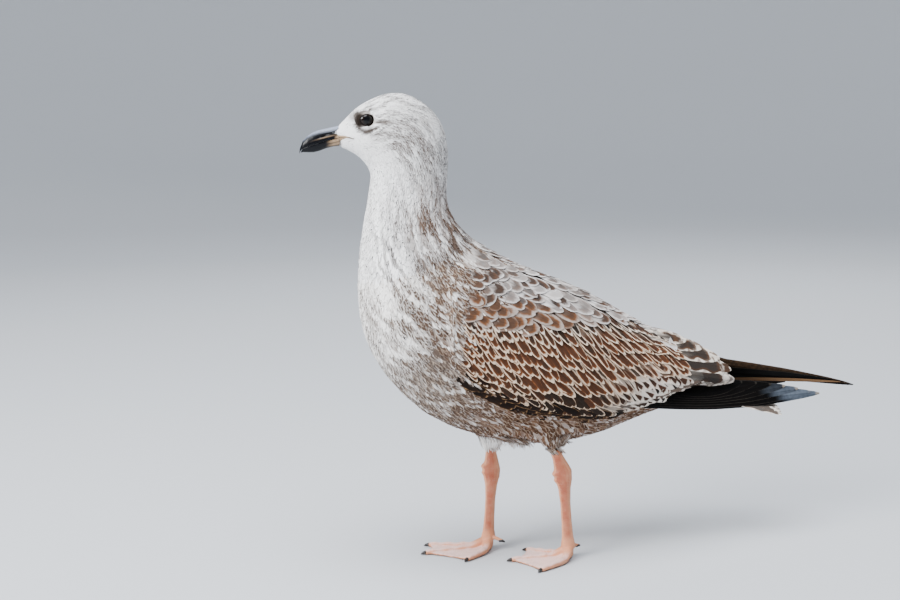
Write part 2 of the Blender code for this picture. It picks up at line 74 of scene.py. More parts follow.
def ramp(value, low, high):
    """0 below low, 1 above high, and smooth between."""
    t = np.clip((value - low) / (high - low), 0.0, 1.0)
    return t * t * (3.0 - 2.0 * t)


def bump_at(value, centre, width):
    """A smooth hill, 1 at the centre and near 0 past the width."""
    return np.exp(-((value - centre) / width) ** 2)


def unit(v):
    """A direction of length 1."""
    return v / np.maximum(np.linalg.norm(v, axis=-1, keepdims=True), 1e-12)


def dot(a, b):
    return (a * b).sum(-1, keepdims=True)


def flattened(direction, normal):
    """The part of a direction that lies along the surface."""
    return unit(direction - dot(direction, normal) * normal)


def box_of(name):
    """The low and high corners of a node's box."""
    return (np.array(corner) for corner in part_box(name))


def node_middle(name):
    low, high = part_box(name)
    return np.array((low + high) / 2)


# ---------------------------------------------------------------- meshes


def mesh_object(name, verts, faces, uv=None, marks=None, sharp=None):
    """A mesh from arrays. faces is a list of arrays, one for each number of corners; uv maps a
    name to one place for each vertex; marks maps a name to four values for each vertex."""
    data = bpy.data.meshes.new(name)
    data.vertices.add(len(verts))
    data.vertices.foreach_set("co", np.asarray(verts, np.float32).ravel())
    corners = np.concatenate([f.ravel() for f in faces]).astype(np.int32)
    sizes = np.concatenate([np.full(len(f), f.shape[1]) for f in faces])
    data.loops.add(len(corners))
    data.loops.foreach_set("vertex_index", corners)
    data.polygons.add(len(sizes))
    starts = np.concatenate([[0], np.cumsum(sizes)[:-1]]).astype(np.int32)
    data.polygons.foreach_set("loop_start", starts)
    data.update(calc_edges=True)
    for layer, places in (uv or {}).items():
        made = data.uv_layers.new(name=layer)
        made.data.foreach_set("uv", np.asarray(places, np.float32)[corners].ravel())
    for layer, values in (marks or {}).items():
        made = data.attributes.new(layer, "FLOAT_COLOR", "POINT")
        made.data.foreach_set("color", np.asarray(values, np.float32).ravel())
    data.polygons.foreach_set("use_smooth", np.ones(len(sizes), bool))
    if sharp is not None:
        ends = np.empty(len(data.edges) * 2, np.int32)
        data.edges.foreach_get("vertices", ends)
        crease = sharp[ends].reshape(-1, 2).all(1)
        data.attributes.new("sharp_edge", "BOOLEAN", "EDGE").data.foreach_set("value", crease)
    data.validate()
    piece = bpy.data.objects.new(name, data)
    bpy.context.scene.collection.objects.link(piece)
    return piece


def solid(names, grow=0.0):
    """Points and triangles of CAD nodes together, each point moved out by grow."""
    points, triangles, start = [], [], 0
    for name in names:
        shape = bmesh.new()
        shape.from_mesh(NODES[name].data)
        bmesh.ops.remove_doubles(shape, verts=shape.verts, dist=1e-6)
        bmesh.ops.triangulate(shape, faces=shape.faces)
        shape.normal_update()
        shape.verts.index_update()
        points += [v.co + v.normal * grow for v in shape.verts]
        triangles += [[v.index + start for v in f.verts] for f in shape.faces]
        start = len(points)
        shape.free()
    return np.array(points), np.array(triangles)


def evaluated_mesh(piece):
    """Points and four-sided faces of an object with its modifiers, then the object goes."""
    made = piece.evaluated_get(bpy.context.evaluated_depsgraph_get()).to_mesh()
    verts = np.empty(len(made.vertices) * 3)
    made.vertices.foreach_get("co", verts)
    corners = np.empty(len(made.loops), np.int32)
    made.loops.foreach_get("vertex_index", corners)
    bpy.data.meshes.remove(piece.data)
    return verts.reshape(-1, 3), corners.reshape(-1, 4)


def blended(points, triangles, voxel, rounds):
    """One smooth closed surface round solids that touch, in four-sided faces."""
    piece = mesh_object("blend", points, [triangles])
    step = piece.modifiers.new("blend", "REMESH")
    step.mode, step.voxel_size, step.adaptivity = "VOXEL", voxel, 0.0
    verts, quads = evaluated_mesh(piece)
    ends = np.concatenate([quads[:, [k, (k + 1) % 4]] for k in range(4)])
    count = np.bincount(ends[:, 0], minlength=len(verts))[:, None]
    for k in range(2 * rounds):
        total = np.stack([np.bincount(ends[:, 0], verts[ends[:, 1], axis], len(verts))
                          for axis in range(3)], 1)
        verts = verts + (0.5, -0.52)[k % 2] * (total / count - verts)
    return verts, quads


def normals_of(verts, quads):
    """A smooth outward normal for each point of a surface in four-sided faces."""
    across = np.cross(verts[quads[:, 2]] - verts[quads[:, 0]],
                      verts[quads[:, 3]] - verts[quads[:, 1]])
    total = np.zeros_like(verts)
    for k in range(4):
        np.add.at(total, quads[:, k], across)
    return unit(total)


DRAWN_TO_KEPT = 3.4
NEXT_CELLS = list(itertools.product((-1, 0, 1), repeat=3))


class Surface:
    """A closed surface that can be asked for its nearest point and smooth normal."""

    def __init__(self, verts, quads):
        self.verts, self.quads = verts, quads
        self.normals = normals_of(verts, quads)
        self.triangles = np.concatenate([quads[:, [0, 1, 2]], quads[:, [0, 2, 3]]])
        self.tree = BVHTree.FromPolygons(verts.tolist(), self.triangles.tolist())

    def weights(self, face, place):
        a, b, c = (self.verts[self.triangles[face, k]] for k in range(3))
        whole = np.cross(b - a, c - a)
        size = np.maximum((whole * whole).sum(1), 1e-24)
        wb = (np.cross(place - a, c - a) * whole).sum(1) / size
        wc = (np.cross(b - a, place - a) * whole).sum(1) / size
        return np.clip(np.stack([1 - wb - wc, wb, wc], 1), 0, 1)

    def nearest(self, points):
        found = [self.tree.find_nearest(p) for p in points.tolist()]
        place = np.array([f[0][:] for f in found])
        face = np.array([f[2] for f in found])
        share = self.weights(face, place)[:, :, None]
        return place, unit((self.normals[self.triangles[face]] * share).sum(1))

    def scatter(self, rng, spacing_at, keep):
        """Random places no nearer than their spacing, where keep says so. More places are drawn
        than fit, and each is kept if the ones before it leave it free. Places are found by
        cells of a size that suits their spacing."""
        corner = self.verts[self.triangles]
        middle = corner.mean(1)
        area = np.linalg.norm(np.cross(corner[:, 1] - corner[:, 0],
                                       corner[:, 2] - corner[:, 0]), axis=1) / 2
        spacing = spacing_at(middle)
        wanted = area / (0.8 * spacing ** 2) * DRAWN_TO_KEPT * keep(middle)
        face = rng.choice(len(area), int(wanted.sum()), p=wanted / wanted.sum())
        mix = rng.random((len(face), 2))
        over = mix.sum(1) > 1
        mix[over] = 1 - mix[over]
        a, b, c = (corner[face, k] for k in range(3))
        place = a + (b - a) * mix[:, :1] + (c - a) * mix[:, 1:]
        near = spacing[face]
        taken = {}
        chosen = []
        for k, (x, y, z), r in zip(range(len(place)), place.tolist(), near.tolist()):
            level = math.ceil(math.log2(r / MM) * 2)
            size = MM * 2 ** (level / 2)
            i, j, m = int(x // size), int(y // size), int(z // size)
            others = (other for di, dj, dm in NEXT_CELLS
                      for other in taken.get((level, i + di, j + dj, m + dm), ()))
            if all((px - x) ** 2 + (py - y) ** 2 + (pz - z) ** 2 >= r * r for px, py, pz in others):
                taken.setdefault((level, i, j, m), []).append((x, y, z))
                chosen.append(k)
        return place[np.array(chosen)]


# ---------------------------------------------------------------- the body's own measures

EYE_LEFT, EYE_RIGHT = node_middle("eye_left"), node_middle("eye_right")
SIDEWAYS = unit(EYE_LEFT - EYE_RIGHT)
FORWARD = np.array([SIDEWAYS[1], -SIDEWAYS[0], 0.0])
FORWARD = FORWARD if FORWARD[0] < 0 else -FORWARD
BETWEEN_EYES = (EYE_LEFT + EYE_RIGHT) / 2
EYE_RADIUS = (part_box("eye_left")[1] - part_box("eye_left")[0])[2] / 2
# The lids open a little behind and below the ball's own middle.
LID_BACK, LID_DOWN = 2.4 * MM, 0.1 * MM
# Half the length and height of the place round an eye that feathers leave free.
OPENING_LONG, OPENING_TALL = 6.2 * MM, 5.05 * MM


def from_lids(points, eye):
    """How far ahead of and above the middle of an eye's opening places lie."""
    off = points - eye
    return off @ FORWARD + LID_BACK, off[..., 2] + LID_DOWN


# The body's middle line, from the bill's base to the tail, in mm. The head's points are given
# ahead of the neck's upright axis and follow the head's turn.
NECK_AXIS_X = -181.8
HEAD_LINE = ((58.0, 379.0), (38.0, 386.0), (20.0, 386.0), (4.0, 378.0))
BODY_LINE = ((-179, 360), (-181, 335), (-185, 308), (-182, 287), (-179, 269), (-170, 250),
             (-153, 230), (-130, 211), (-100, 191), (-62, 174), (-24, 161), (9, 154),
             (37, 150), (61, 146), (101, 141))
LINE = np.array([[NECK_AXIS_X + FORWARD[0] * a, FORWARD[1] * a, z] for a, z in HEAD_LINE]
                + [[x, 0.0, z] for x, z in BODY_LINE]) * MM
LINE_RUN = unit(np.gradient(LINE, axis=0))
LINE_AT = np.concatenate([[0], np.cumsum(np.linalg.norm(np.diff(LINE, axis=0), axis=1))])
LINE_REACH = np.interp(np.arange(len(LINE)), (0, 4, 7, len(LINE)), (15, 17, 24, 27)) * MM


def line_share(points):
    """How much each point of the middle line counts at each place."""
    away = np.linalg.norm(points[:, None] - LINE[None], axis=2)
    score = -(away / LINE_REACH) ** 2 / 2
    share = np.exp(score - score.max(1, keepdims=True))
    return share / share.sum(1, keepdims=True)


def along_body(points):
    """How far along the middle line a place lies, in mm from the bill's base."""
    return line_share(points) @ LINE_AT / MM


def lie_of_coat(points, normals):
    """The way that feathers point at a place on the body."""
    run = line_share(points) @ LINE_RUN
    leg = ramp(-points[:, 2], -0.135, -0.118) * (points[:, 0] > -0.14) * (points[:, 0] < -0.03)
    leg = (leg * ramp(np.abs(points[:, 1]), 0.012, 0.02))[:, None]
    run = run * (1 - leg) + np.array([0.25, 0.0, -1.0]) * leg
    return flattened(run, normals)


# ---------------------------------------------------------------- feathers

class Vane:
    """A thin closed feather shape: a grid on top, and a belly under it that shares its rim.
    across runs from -1 to 1 and along from 0 at the root to 1 at the tip."""

    def __init__(self, across, along):
        a, t = np.meshgrid(across, along)
        rows, columns = a.shape
        top = np.arange(rows * columns).reshape(rows, columns)
        under = top.copy()
        inner = rows * columns + np.arange((rows - 2) * (columns - 2))
        under[1:-1, 1:-1] = inner.reshape(rows - 2, columns - 2)
        self.across = np.concatenate([a.ravel(), a[1:-1, 1:-1].ravel()])
        self.along = np.concatenate([t.ravel(), t[1:-1, 1:-1].ravel()])
        self.below = np.concatenate([np.zeros(rows * columns), np.ones(len(inner))])
        self.rim = np.ones(len(self.across), bool)
        self.rim[top[1:-1, 1:-1].ravel()] = False
        self.rim[inner] = False
        self.middle = top[rows // 2:, columns // 2]

        def cells(grid):
            return np.stack([grid[:-1, :-1], grid[:-1, 1:], grid[1:, 1:], grid[1:, :-1]],
                            -1).reshape(-1, 4)
        self.quads = np.concatenate([cells(top), cells(under)[:, ::-1]])

    def faces(self, count):
        """The faces of this many feathers."""
        size = len(self.across)
        return (self.quads[None] + (np.arange(count) * size)[:, None, None]).reshape(-1, 4)

    def mesh(self, name, verts, bake, mirrored=False, **marks):
        """One piece of feathers of this shape. Each of marks has four values a feather."""
        size = len(self.across)
        count = len(verts) // size
        faces = self.faces(count)
        own = np.tile(np.stack([(self.across + 1) / 2, self.along], 1), (count, 1))
        return mesh_object(name, verts, [faces[:, ::-1] if mirrored else faces],
                           {"OFBake": bake, "Vane": own},
                           {key: np.repeat(values, size, 0) for key, values in marks.items()},
                           np.tile(self.rim, count))


SMALL_VANE = Vane(np.array([-1.0, 0.0, 1.0]), np.array([0.0, 0.3, 0.6, 0.84, 1.0]))
ROW_VANE = Vane(np.array([-1.0, -0.6, -0.12, 0.12, 0.6, 1.0]),
                np.array([0.0, 0.15, 0.32, 0.5, 0.68, 0.82, 0.92, 1.0]))


def outline(t, roundness):
    """Half width of a feather along its length, as a share of the widest."""
    body = 0.35 + 0.65 * ramp(t, -0.1, 0.45)
    tip = np.sqrt(np.clip(1 - ((t - 1 + roundness) / roundness).clip(0, 1) ** 2, 0, 1))
    return body * np.maximum(tip, 0.22)


def bake_places(roots_u, roots_v, vane, size):
    """Where each feather's own patch lies on the map that the export reads."""
    u = roots_u[:, None] + vane.across[None] * size[:, None] / 2
    v = roots_v[:, None] + (vane.along[None] - 0.5) * size[:, None]
    return np.stack([u, v], -1).reshape(-1, 2)


def between_cells(layer, i, j):
    """A layer at places between its cells, by straight mixing. i and j count cells."""
    i, j = np.clip(i, 0, layer.shape[0] - 1.001), np.clip(j, 0, layer.shape[1] - 1.001)
    i0, j0 = i.astype(int), j.astype(int)
    fi, fj = i - i0, j - j0
    if layer.ndim == 3:
        fi, fj = fi[..., None], fj[..., None]
    return ((layer[i0, j0] * (1 - fi) + layer[i0 + 1, j0] * fi) * (1 - fj)
            + (layer[i0, j0 + 1] * (1 - fi) + layer[i0 + 1, j0 + 1] * fi) * fj)


def spread(values, low=0.02, high=0.98):
    """Values drawn out to run from low to high."""
    span = max(values.max() - values.min(), 1e-9)
    return low + (values - values.min()) / span * (high - low)


def around_body(points):
    """Turn round the middle line, from 0 to 1, starting under the belly."""
    share = line_share(points)
    middle, run = share @ LINE, unit(share @ LINE_RUN)
    side = np.array([0.0, 1.0, 0.0])
    rise = unit(np.cross(run, side))
    off = points - middle
    return np.arctan2(dot(off, side)[:, 0], dot(off, rise)[:, 0]) / (2 * math.pi) + 0.5


# ---------------------------------------------------------------- materials

def linear(code):
    """An sRGB hex colour as linear red, green, blue and alpha."""
    parts = [int(code[k:k + 2], 16) / 255 for k in (1, 3, 5)]
    return tuple(p / 12.92 if p <= 0.04045 else ((p + 0.055) / 1.055) ** 2.4
                 for p in parts) + (1.0,)


# Short names for the nodes used most: kind, settings, sockets filled in turn, output read.
SHORT_NAMES = {name: ("Math", {"operation": operation}, range(3), 0) for name, operation in (
    ("times", "MULTIPLY"), ("plus", "ADD"), ("minus", "SUBTRACT"), ("times_plus", "MULTIPLY_ADD"),
    ("larger", "MAXIMUM"), ("smaller", "MINIMUM"), ("size", "ABSOLUTE"), ("sine", "SINE"),
    ("fraction", "FRACT"))}
SHORT_NAMES["step"] = ("MapRange", {"interpolation_type": "SMOOTHSTEP"}, range(3), 0)
SHORT_NAMES["mix"] = ("Mix", {"data_type": "RGBA"}, (0, 6, 7), 2)
SHORT_NAMES["noise"] = ("TexNoise", {}, ("Vector", "Scale", "Detail"), 0)


def node(tree, kind, *inputs, out=0, **settings):
    """Adds one node and gives its output, or all its outputs where out is None. Its inputs come
    in turn, or by name in one dict, and each is a link, a number or a hex colour."""
    kind, own_settings, sockets, out = SHORT_NAMES.get(kind, (kind, {}, range(9), out))
    made = tree.nodes.new("ShaderNode" + kind)
    for key, value in {**own_settings, **settings}.items():
        setattr(made, key, value)
    named = inputs[0] if inputs and isinstance(inputs[0], dict) else dict(zip(sockets, inputs))
    for key, value in named.items():
        if isinstance(value, bpy.types.NodeSocket):
            tree.links.new(value, made.inputs[key])
        else:
            made.inputs[key].default_value = linear(value) if isinstance(value, str) else value
    return made.outputs if out is None else made.outputs[out]


def material(name):
    """A new material, and the function that adds nodes to it."""
    made = bpy.data.materials.new(name)
    made.use_nodes = True
    made.node_tree.nodes.clear()
    return made, partial(node, made.node_tree)


# A noise's scale is its number of grains in a metre, so 700 makes grains of about 1.4 mm.


def marks_links(add):
    """The four marks of a place on a piece."""
    colour, _, _, fourth = add("Attribute", out=None, attribute_name="marks")
    return *add("SeparateColor", colour, out=None), fourth


def vane_links(add):
    """Across from -1 to 1, along from 0 to 1, and the four marks of the feather."""
    u, along, _ = add("SeparateXYZ", add("UVMap", uv_map="Vane"), out=None)
    return add("times_plus", u, 2.0, -1.0), along, *marks_links(add)


def contour_plumage(name, white, grey, tan, dark, warm_dark, rimmed=0.0, uneven=0.0):
    """Small soft body feathers. Keratin barbs scatter light, so they are matt and white, and
    pigment shows as a soft streak along the shaft and toward the tip. A worn rim stays pale."""
    made, add = material(name)
    across, along, mark, warm, dusk_and_painted_shade, own = vane_links(add)
    where = add("TexCoord", out="Object")
    # Clumps of barbs make the streak's edge and the surface uneven.
    wobble = add("noise", where, 700.0, 3.0)
    side = add("size", across)
    edge = add("times_plus", mark, 1.1, add("times_plus", wobble, 0.3, -0.13))
    streak = add("minus", 1.0, add("step", side, add("minus", edge, 0.45), add("plus", edge, 0.25)))
    reach = add("times", add("step", along, 0.2, 0.6),
                add("minus", 1.0, add("step", along, 0.86, 1.1)))
    streak = add("times", add("times", streak, reach), add("step", mark, 0.0, 0.42), use_clamp=True)
    broad = add("noise", where, 55.0, 3.0)
    # The dusk mark darkens the base. Under the belly it is partly painted shade.
    tone = add("times", dusk_and_painted_shade, add("times_plus", own, 2 * uneven, 1 - uneven))
    base = add("mix", add("plus", tone, add("times_plus", broad, 0.3, -0.15), use_clamp=True),
               white, add("mix", warm, grey, tan))
    pigment = add("mix", warm, dark, warm_dark)
    colour = add("mix", streak, base, pigment)
    rim = add("times", add("step", side, 0.5, 0.95), add("times", dusk_and_painted_shade, rimmed), use_clamp=True)
    colour = add("mix", rim, colour, "#cbb39b")
    bump = add("Bump", {"Height": wobble, "Strength": 0.25, "Distance": 0.0004})
    shader = add("BsdfPrincipled", {"Base Color": colour, "Normal": bump, "Roughness": 0.85,
                                    "Specular IOR Level": 0.25})
    add("OutputMaterial", shader, out=None)
    return made


# ---------------------------------------------------------------- the body's coat

BODY_NODES = ["head", "neck", "trunk", "tail_base", "thigh_left", "thigh_right", "wing_left",
              "wing_right"]


def tube(path, radii, sides=14, flat=1.0):
    """A closed tube through points, as points and triangles. flat squeezes its height."""
    path, radii = np.asarray(path, float), np.asarray(radii, float)
    run = unit(np.gradient(path, axis=0))
    turn = np.linspace(0, 2 * math.pi, sides, endpoint=False)
    rings = []
    for p, d, r in zip(path, run, radii):
        side = unit(np.cross(d, (0.0, 0.0, 1.0)) if abs(d[2]) < 0.9 else
                    np.cross(d, (1.0, 0.0, 0.0)))
        top = np.cross(side, d)
        rings.append(p + r * (np.cos(turn)[:, None] * side + flat * np.sin(turn)[:, None] * top))
    points = np.concatenate(rings + [path[:1], path[-1:]])
    faces = []
    for i in range(len(path) - 1):
        for k in range(sides):
            a, b = i * sides + k, i * sides + (k + 1) % sides
            faces += [(a, b, b + sides), (a, b + sides, a + sides)]
    first, last = len(points) - 2, len(points) - 1
    end = (len(path) - 1) * sides
    for k in range(sides):
        faces += [(first, (k + 1) % sides, k), (last, end + k, end + (k + 1) % sides)]
    return points, np.array(faces)


def together(*shapes):
    """Several shapes as the points and faces of one."""
    points, faces, start = [], [], 0
    for p, f in shapes:
        points.append(p)
        faces.append(f + start)
        start += len(p)
    return np.concatenate(points), np.concatenate(faces)


# The face's feathers run forward in a wedge over the root of the bill, and under the chin.
bill_middle = node_middle("bill_upper")
BILL_SIDE = (bill_middle - BETWEEN_EYES) @ SIDEWAYS


def face_tube(line, radii):
    """A rounded rise of feathers on the head's middle, from (ahead of the eyes, z) in mm."""
    places = [BETWEEN_EYES + FORWARD * ahead * MM + SIDEWAYS * BILL_SIDE * ahead / 40
              + np.array((0, 0, z * MM - BETWEEN_EYES[2])) for ahead, z in line]
    return tube(places, np.array(radii) * MM)


wedge = face_tube(((8.0, 383.5), (16.0, 382.7), (22.0, 382.2), (26.0, 381.9), (28.6, 381.6),
                   (30.4, 381.0)), (7.6, 6.5, 5.5, 4.7, 4.0, 2.4))
chin = face_tube(((8.0, 371.6), (14.0, 372.7), (20.6, 374.2)), (5.4, 4.3, 2.4))
envelope = Surface(*blended(*together(solid(BODY_NODES, 0.4 * MM), wedge, chin), 1.9 * MM, 6))
rng = np.random.default_rng(11)

# How far along the body, in mm; feather spacing and depth of coat there, in mm.
COAT_AT = (0, 22, 45, 80, 120, 170, 230, 300, 420, 560)
COAT_SPACING = (0.75, 0.8, 1.05, 1.3, 1.6, 1.95, 2.25, 2.35, 2.5, 2.8)
COAT_DEPTH = (0.45, 0.5, 0.7, 1.0, 1.4, 1.7, 2.0, 2.3, 2.4, 1.8)
# How far round the body is there, in mm, for markings of an even size.
GIRTH_AT = (0, 20, 45, 90, 160, 230, 300, 420, 560)
GIRTH = (60, 90, 130, 170, 230, 330, 400, 300, 150)


def coat_spacing(points):
    gap = np.interp(along_body(points), COAT_AT, COAT_SPACING)
    for eye in (EYE_LEFT, EYE_RIGHT):
        away = np.linalg.norm(points - eye, axis=1)
        gap = gap * (0.58 + 0.42 * ramp(away, 8.5 * MM, 13 * MM))
    return gap * MM


def coat_depth(points):
    return np.interp(along_body(points), COAT_AT, COAT_DEPTH) * MM


WING_SOLIDS = BVHTree.FromPolygons(*[a.tolist() for a in solid(
    ["wing_left", "wing_right", "tertials_left", "tertials_right"])])
FLESH_SOLIDS = BVHTree.FromPolygons(*[a.tolist() for a in solid(
    ["head", "neck", "trunk", "tail_base", "thigh_left", "thigh_right"])])
WRIST_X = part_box("wing_left")[0][0]
NEAR_LEG = node_middle("thigh_left")[:2]
# The shoulder's feathers reach back to this x over the wing's top, which starts at this height.
SHOULDER_X, SHOULDER_Z = -0.113, 0.232
PAST_WINGS_X = 0.2


def open_to_coat(points):
    """1 where small body feathers root: off the wings, but over the wrist at their front, to
    an edge that waves with height."""
    keep = np.ones(len(points))
    for k, p in enumerate(points.tolist()):
        x, _, z = p
        if x < WRIST_X + 6 * MM or x > PAST_WINGS_X:
            continue
        if WING_SOLIDS.find_nearest(p)[3] < FLESH_SOLIDS.find_nearest(p)[3]:
            edge = WRIST_X + (16 + 10 * math.sin(z * 90)) * MM
            keep[k] = x < (max(edge, SHOULDER_X) if z > SHOULDER_Z else edge)
    return keep


def in_eye_openings(places):
    """Whether each place lies over the opening of an eye, where no feather may be."""
    inside = np.zeros(places.shape[:-1], bool)
    for eye in (EYE_LEFT, EYE_RIGHT):
        near = np.linalg.norm(places - eye, axis=-1) < 12 * MM
        ahead, up = from_lids(places, eye)
        inside |= near & ((ahead / OPENING_LONG) ** 2 + (up / OPENING_TALL) ** 2 < 1)
    return inside


def bare_shin(points, low=110.5, high=111.0):
    """1 at the near leg's top, below these heights in mm, where the bare skin starts."""
    away = np.linalg.norm(points[:, :2] - NEAR_LEG, axis=1)
    return (1 - ramp(points[:, 2] / MM, low, high)) * (away < 13 * MM)


def patches(s, turn, length, width, seed, low, high):
    """Soft spots drawn out along the lie of the coat, from 0 to 1, of this size in mm."""
    grid = np.random.default_rng(seed).random((64, 64))
    around = (turn - 0.5) * np.interp(s, GIRTH_AT, GIRTH)
    u, v = s / length, around / width
    u, v = u + 0.55 * np.sin(v * 2.1 + seed), v + 0.5 * np.sin(u * 1.7 + seed)
    i, j = np.floor(u).astype(int), np.floor(v).astype(int)
    fu, fv = ramp(u - i, 0, 1), ramp(v - j, 0, 1)
    value = ((grid[i % 64, j % 64] * (1 - fu) + grid[(i + 1) % 64, j % 64] * fu) * (1 - fv)
             + (grid[i % 64, (j + 1) % 64] * (1 - fu)
                + grid[(i + 1) % 64, (j + 1) % 64] * fu) * fv)
    return ramp(value, low, high)


def marks_of(points):
    """Strength, warmth and dusk of the markings at a place, shared by skin and coat. Under the
    belly the dusk is partly painted shade. s is in mm along the body and turn runs from 0 on the
    back to 1 under the belly."""
    s, around = along_body(points), around_body(points)
    turn = np.abs(around - 0.5) * 2
    upper = 1 - ramp(turn, 0.45, 0.8)
    hind = 1 - ramp(turn, 0.38, 0.78)
    # Streaks, from the crown and the ear's patch to the vent.
    crown = 0.5 * ramp(s, 14, 34) * (1 - ramp(turn, 0.5, 0.85)) * (1 - ramp(s, 85, 125))
    crown = crown * patches(s, around, 5.0, 1.6, 3, 0.15, 0.75)
    ear = 0.7 * bump_at(s, 66, 27) * bump_at(turn, 0.48, 0.28)
    ear = ear * patches(s, around, 7.5, 2.3, 4, 0.3, 0.7)
    nape = (0.4 + 0.38 * ramp(s, 105, 150)) * hind * ramp(s, 62, 100) * (1 - ramp(s, 215, 250))
    nape = nape * patches(s, around, 10.0, 3.4, 5, 0.4, 0.74)
    front = (0.42 + 0.3 * ramp(s, 150, 200)) * ramp(s, 85, 130) * (1 - ramp(s, 240, 280))
    front = front * (1 - 0.4 * ramp(turn, 0.66, 0.85) * (1 - ramp(s, 235, 270)))
    front = front * patches(s, around, 9.0, 3.0, 6, 0.36, 0.7)
    side = 0.6 * bump_at(turn, 0.42, 0.27) * ramp(s, 140, 185) * (1 - ramp(s, 245, 285))
    side = side * patches(s, around, 6.0, 4.5, 7, 0.45, 0.78)
    breast = (0.62 + 0.33 * ramp(s, 225, 280)) * ramp(s, 175, 220) * (1 - ramp(s, 285, 330))
    breast = breast * (1 - 0.3 * ramp(turn, 0.7, 0.9) * (1 - ramp(s, 235, 270)))
    breast = breast * patches(s, around, 5.5, 3.6, 8, 0.36, 0.7)
    belly = ramp(s, 245, 300) * (1 - ramp(s, 425, 470))
    belly = belly * patches(s, around, 6.5, 2.3, 9, 0.2, 0.75)
    vent = 0.6 * ramp(s, 420, 450) * patches(s, around, 10.0, 4.5, 10, 0.45, 0.7)
    strength = np.maximum.reduce([crown, ear, nape, front, side, breast, belly, vent])
    # Warmth: how brown the streaks are.
    warm = np.clip(0.75 * hind * ramp(s, 70, 130) * (1 - 0.6 * ramp(s, 130, 170)) + 0.45 * ear
                   + 0.4 * ramp(s, 150, 215) * (turn < 0.7) + 0.95 * ramp(s, 225, 315), 0, 1)
    # Dusk: the wash of grey and brown between the streaks, strongest under the belly, where it is
    # partly the belly's own brown-grey and partly painted shade of the underside.
    low = ramp(turn, 0.5, 0.72)
    soft = patches(s, around, 13.0, 2.9, 13, 0.42, 0.8) * ramp(s, 78, 110) * (1 - ramp(s, 285, 330))
    soft = 0.5 * soft * (1 - 0.5 * ramp(turn, 0.78, 0.95)) * (0.45 + 0.55 * ramp(s, 110, 165))
    grain = patches(s, around, 9.0, 3.0, 14, 0.1, 0.9)
    # The underside's term is partly the belly's own colour and partly painted shade.
    dusk_and_painted_shade = (0.3 * upper * ramp(s, 16, 50) * (1 - ramp(s, 170, 230)) + 0.3 * ear + soft
            + 0.12 * ramp(s, 140, 190) * upper
            + ((0.5 + 0.25 * grain) * ramp(s, 190, 245)
               + (0.42 + 0.25 * grain) * ramp(s, 255, 330)) * low * (1 - 0.6 * ramp(s, 455, 490)))
    dusk_and_painted_shade = dusk_and_painted_shade + 0.42 * strength * ramp(s, 80, 150)
    # The far leg's top is paler.
    leg = (1 - ramp(points[:, 2], 0.102, 0.110)) * (points[:, 0] < -0.03) * (points[:, 1] > -0.01)
    strength, dusk_and_painted_shade = strength * (1 - 0.4 * leg), dusk_and_painted_shade * (1 - 0.25 * leg)
    for eye in (EYE_LEFT, EYE_RIGHT):
        near = np.linalg.norm(points - eye, axis=1) < 30 * MM
        ahead, up = (value / MM for value in from_lids(points, eye))
        # A smudge ahead of the eye that thins out on the lores, a crescent and streaks under it,
        # a line behind it and a brow over it.
        front_smudge = 1.1 * np.exp(-((ahead - 8.0) / 2.6) ** 2 - ((up - 1.8) / 4.6) ** 2)
        lores = 0.3 * np.exp(-((ahead - 12.0) / 4.5) ** 2 - ((up - 3.0) / 4.5) ** 2)
        reach = np.hypot(ahead - 1.0, up + 1.0)
        under = np.exp(-((reach - 8.6) / 2.4) ** 2) * ramp(-up, 2.0, 5.0) * ramp(ahead, -7, 0)
        fine = patches(s, around, 7.0, 1.5, 12, 0.35, 0.65)
        streaks = 1.5 * fine * np.exp(-((ahead + 4.0) / 6.5) ** 2 - ((up + 8.8) / 3.8) ** 2)
        line = 1.1 * np.exp(-((ahead + 13.0) / 6.5) ** 2 - ((up + 1.5) / 1.7) ** 2)
        brow = 0.55 * fine * np.exp(-((ahead + 3.5) / 5.0) ** 2 - ((up - 8.5) / 3.5) ** 2)
        dusk_and_painted_shade = dusk_and_painted_shade + near * (front_smudge + lores + 0.9 * under + streaks + line + brow)
        strength = np.maximum(strength, near * (0.95 * front_smudge + 0.5 * under + 0.5 * streaks))
    return np.clip(strength, 0, 1), warm, np.clip(dusk_and_painted_shade, 0, 1)


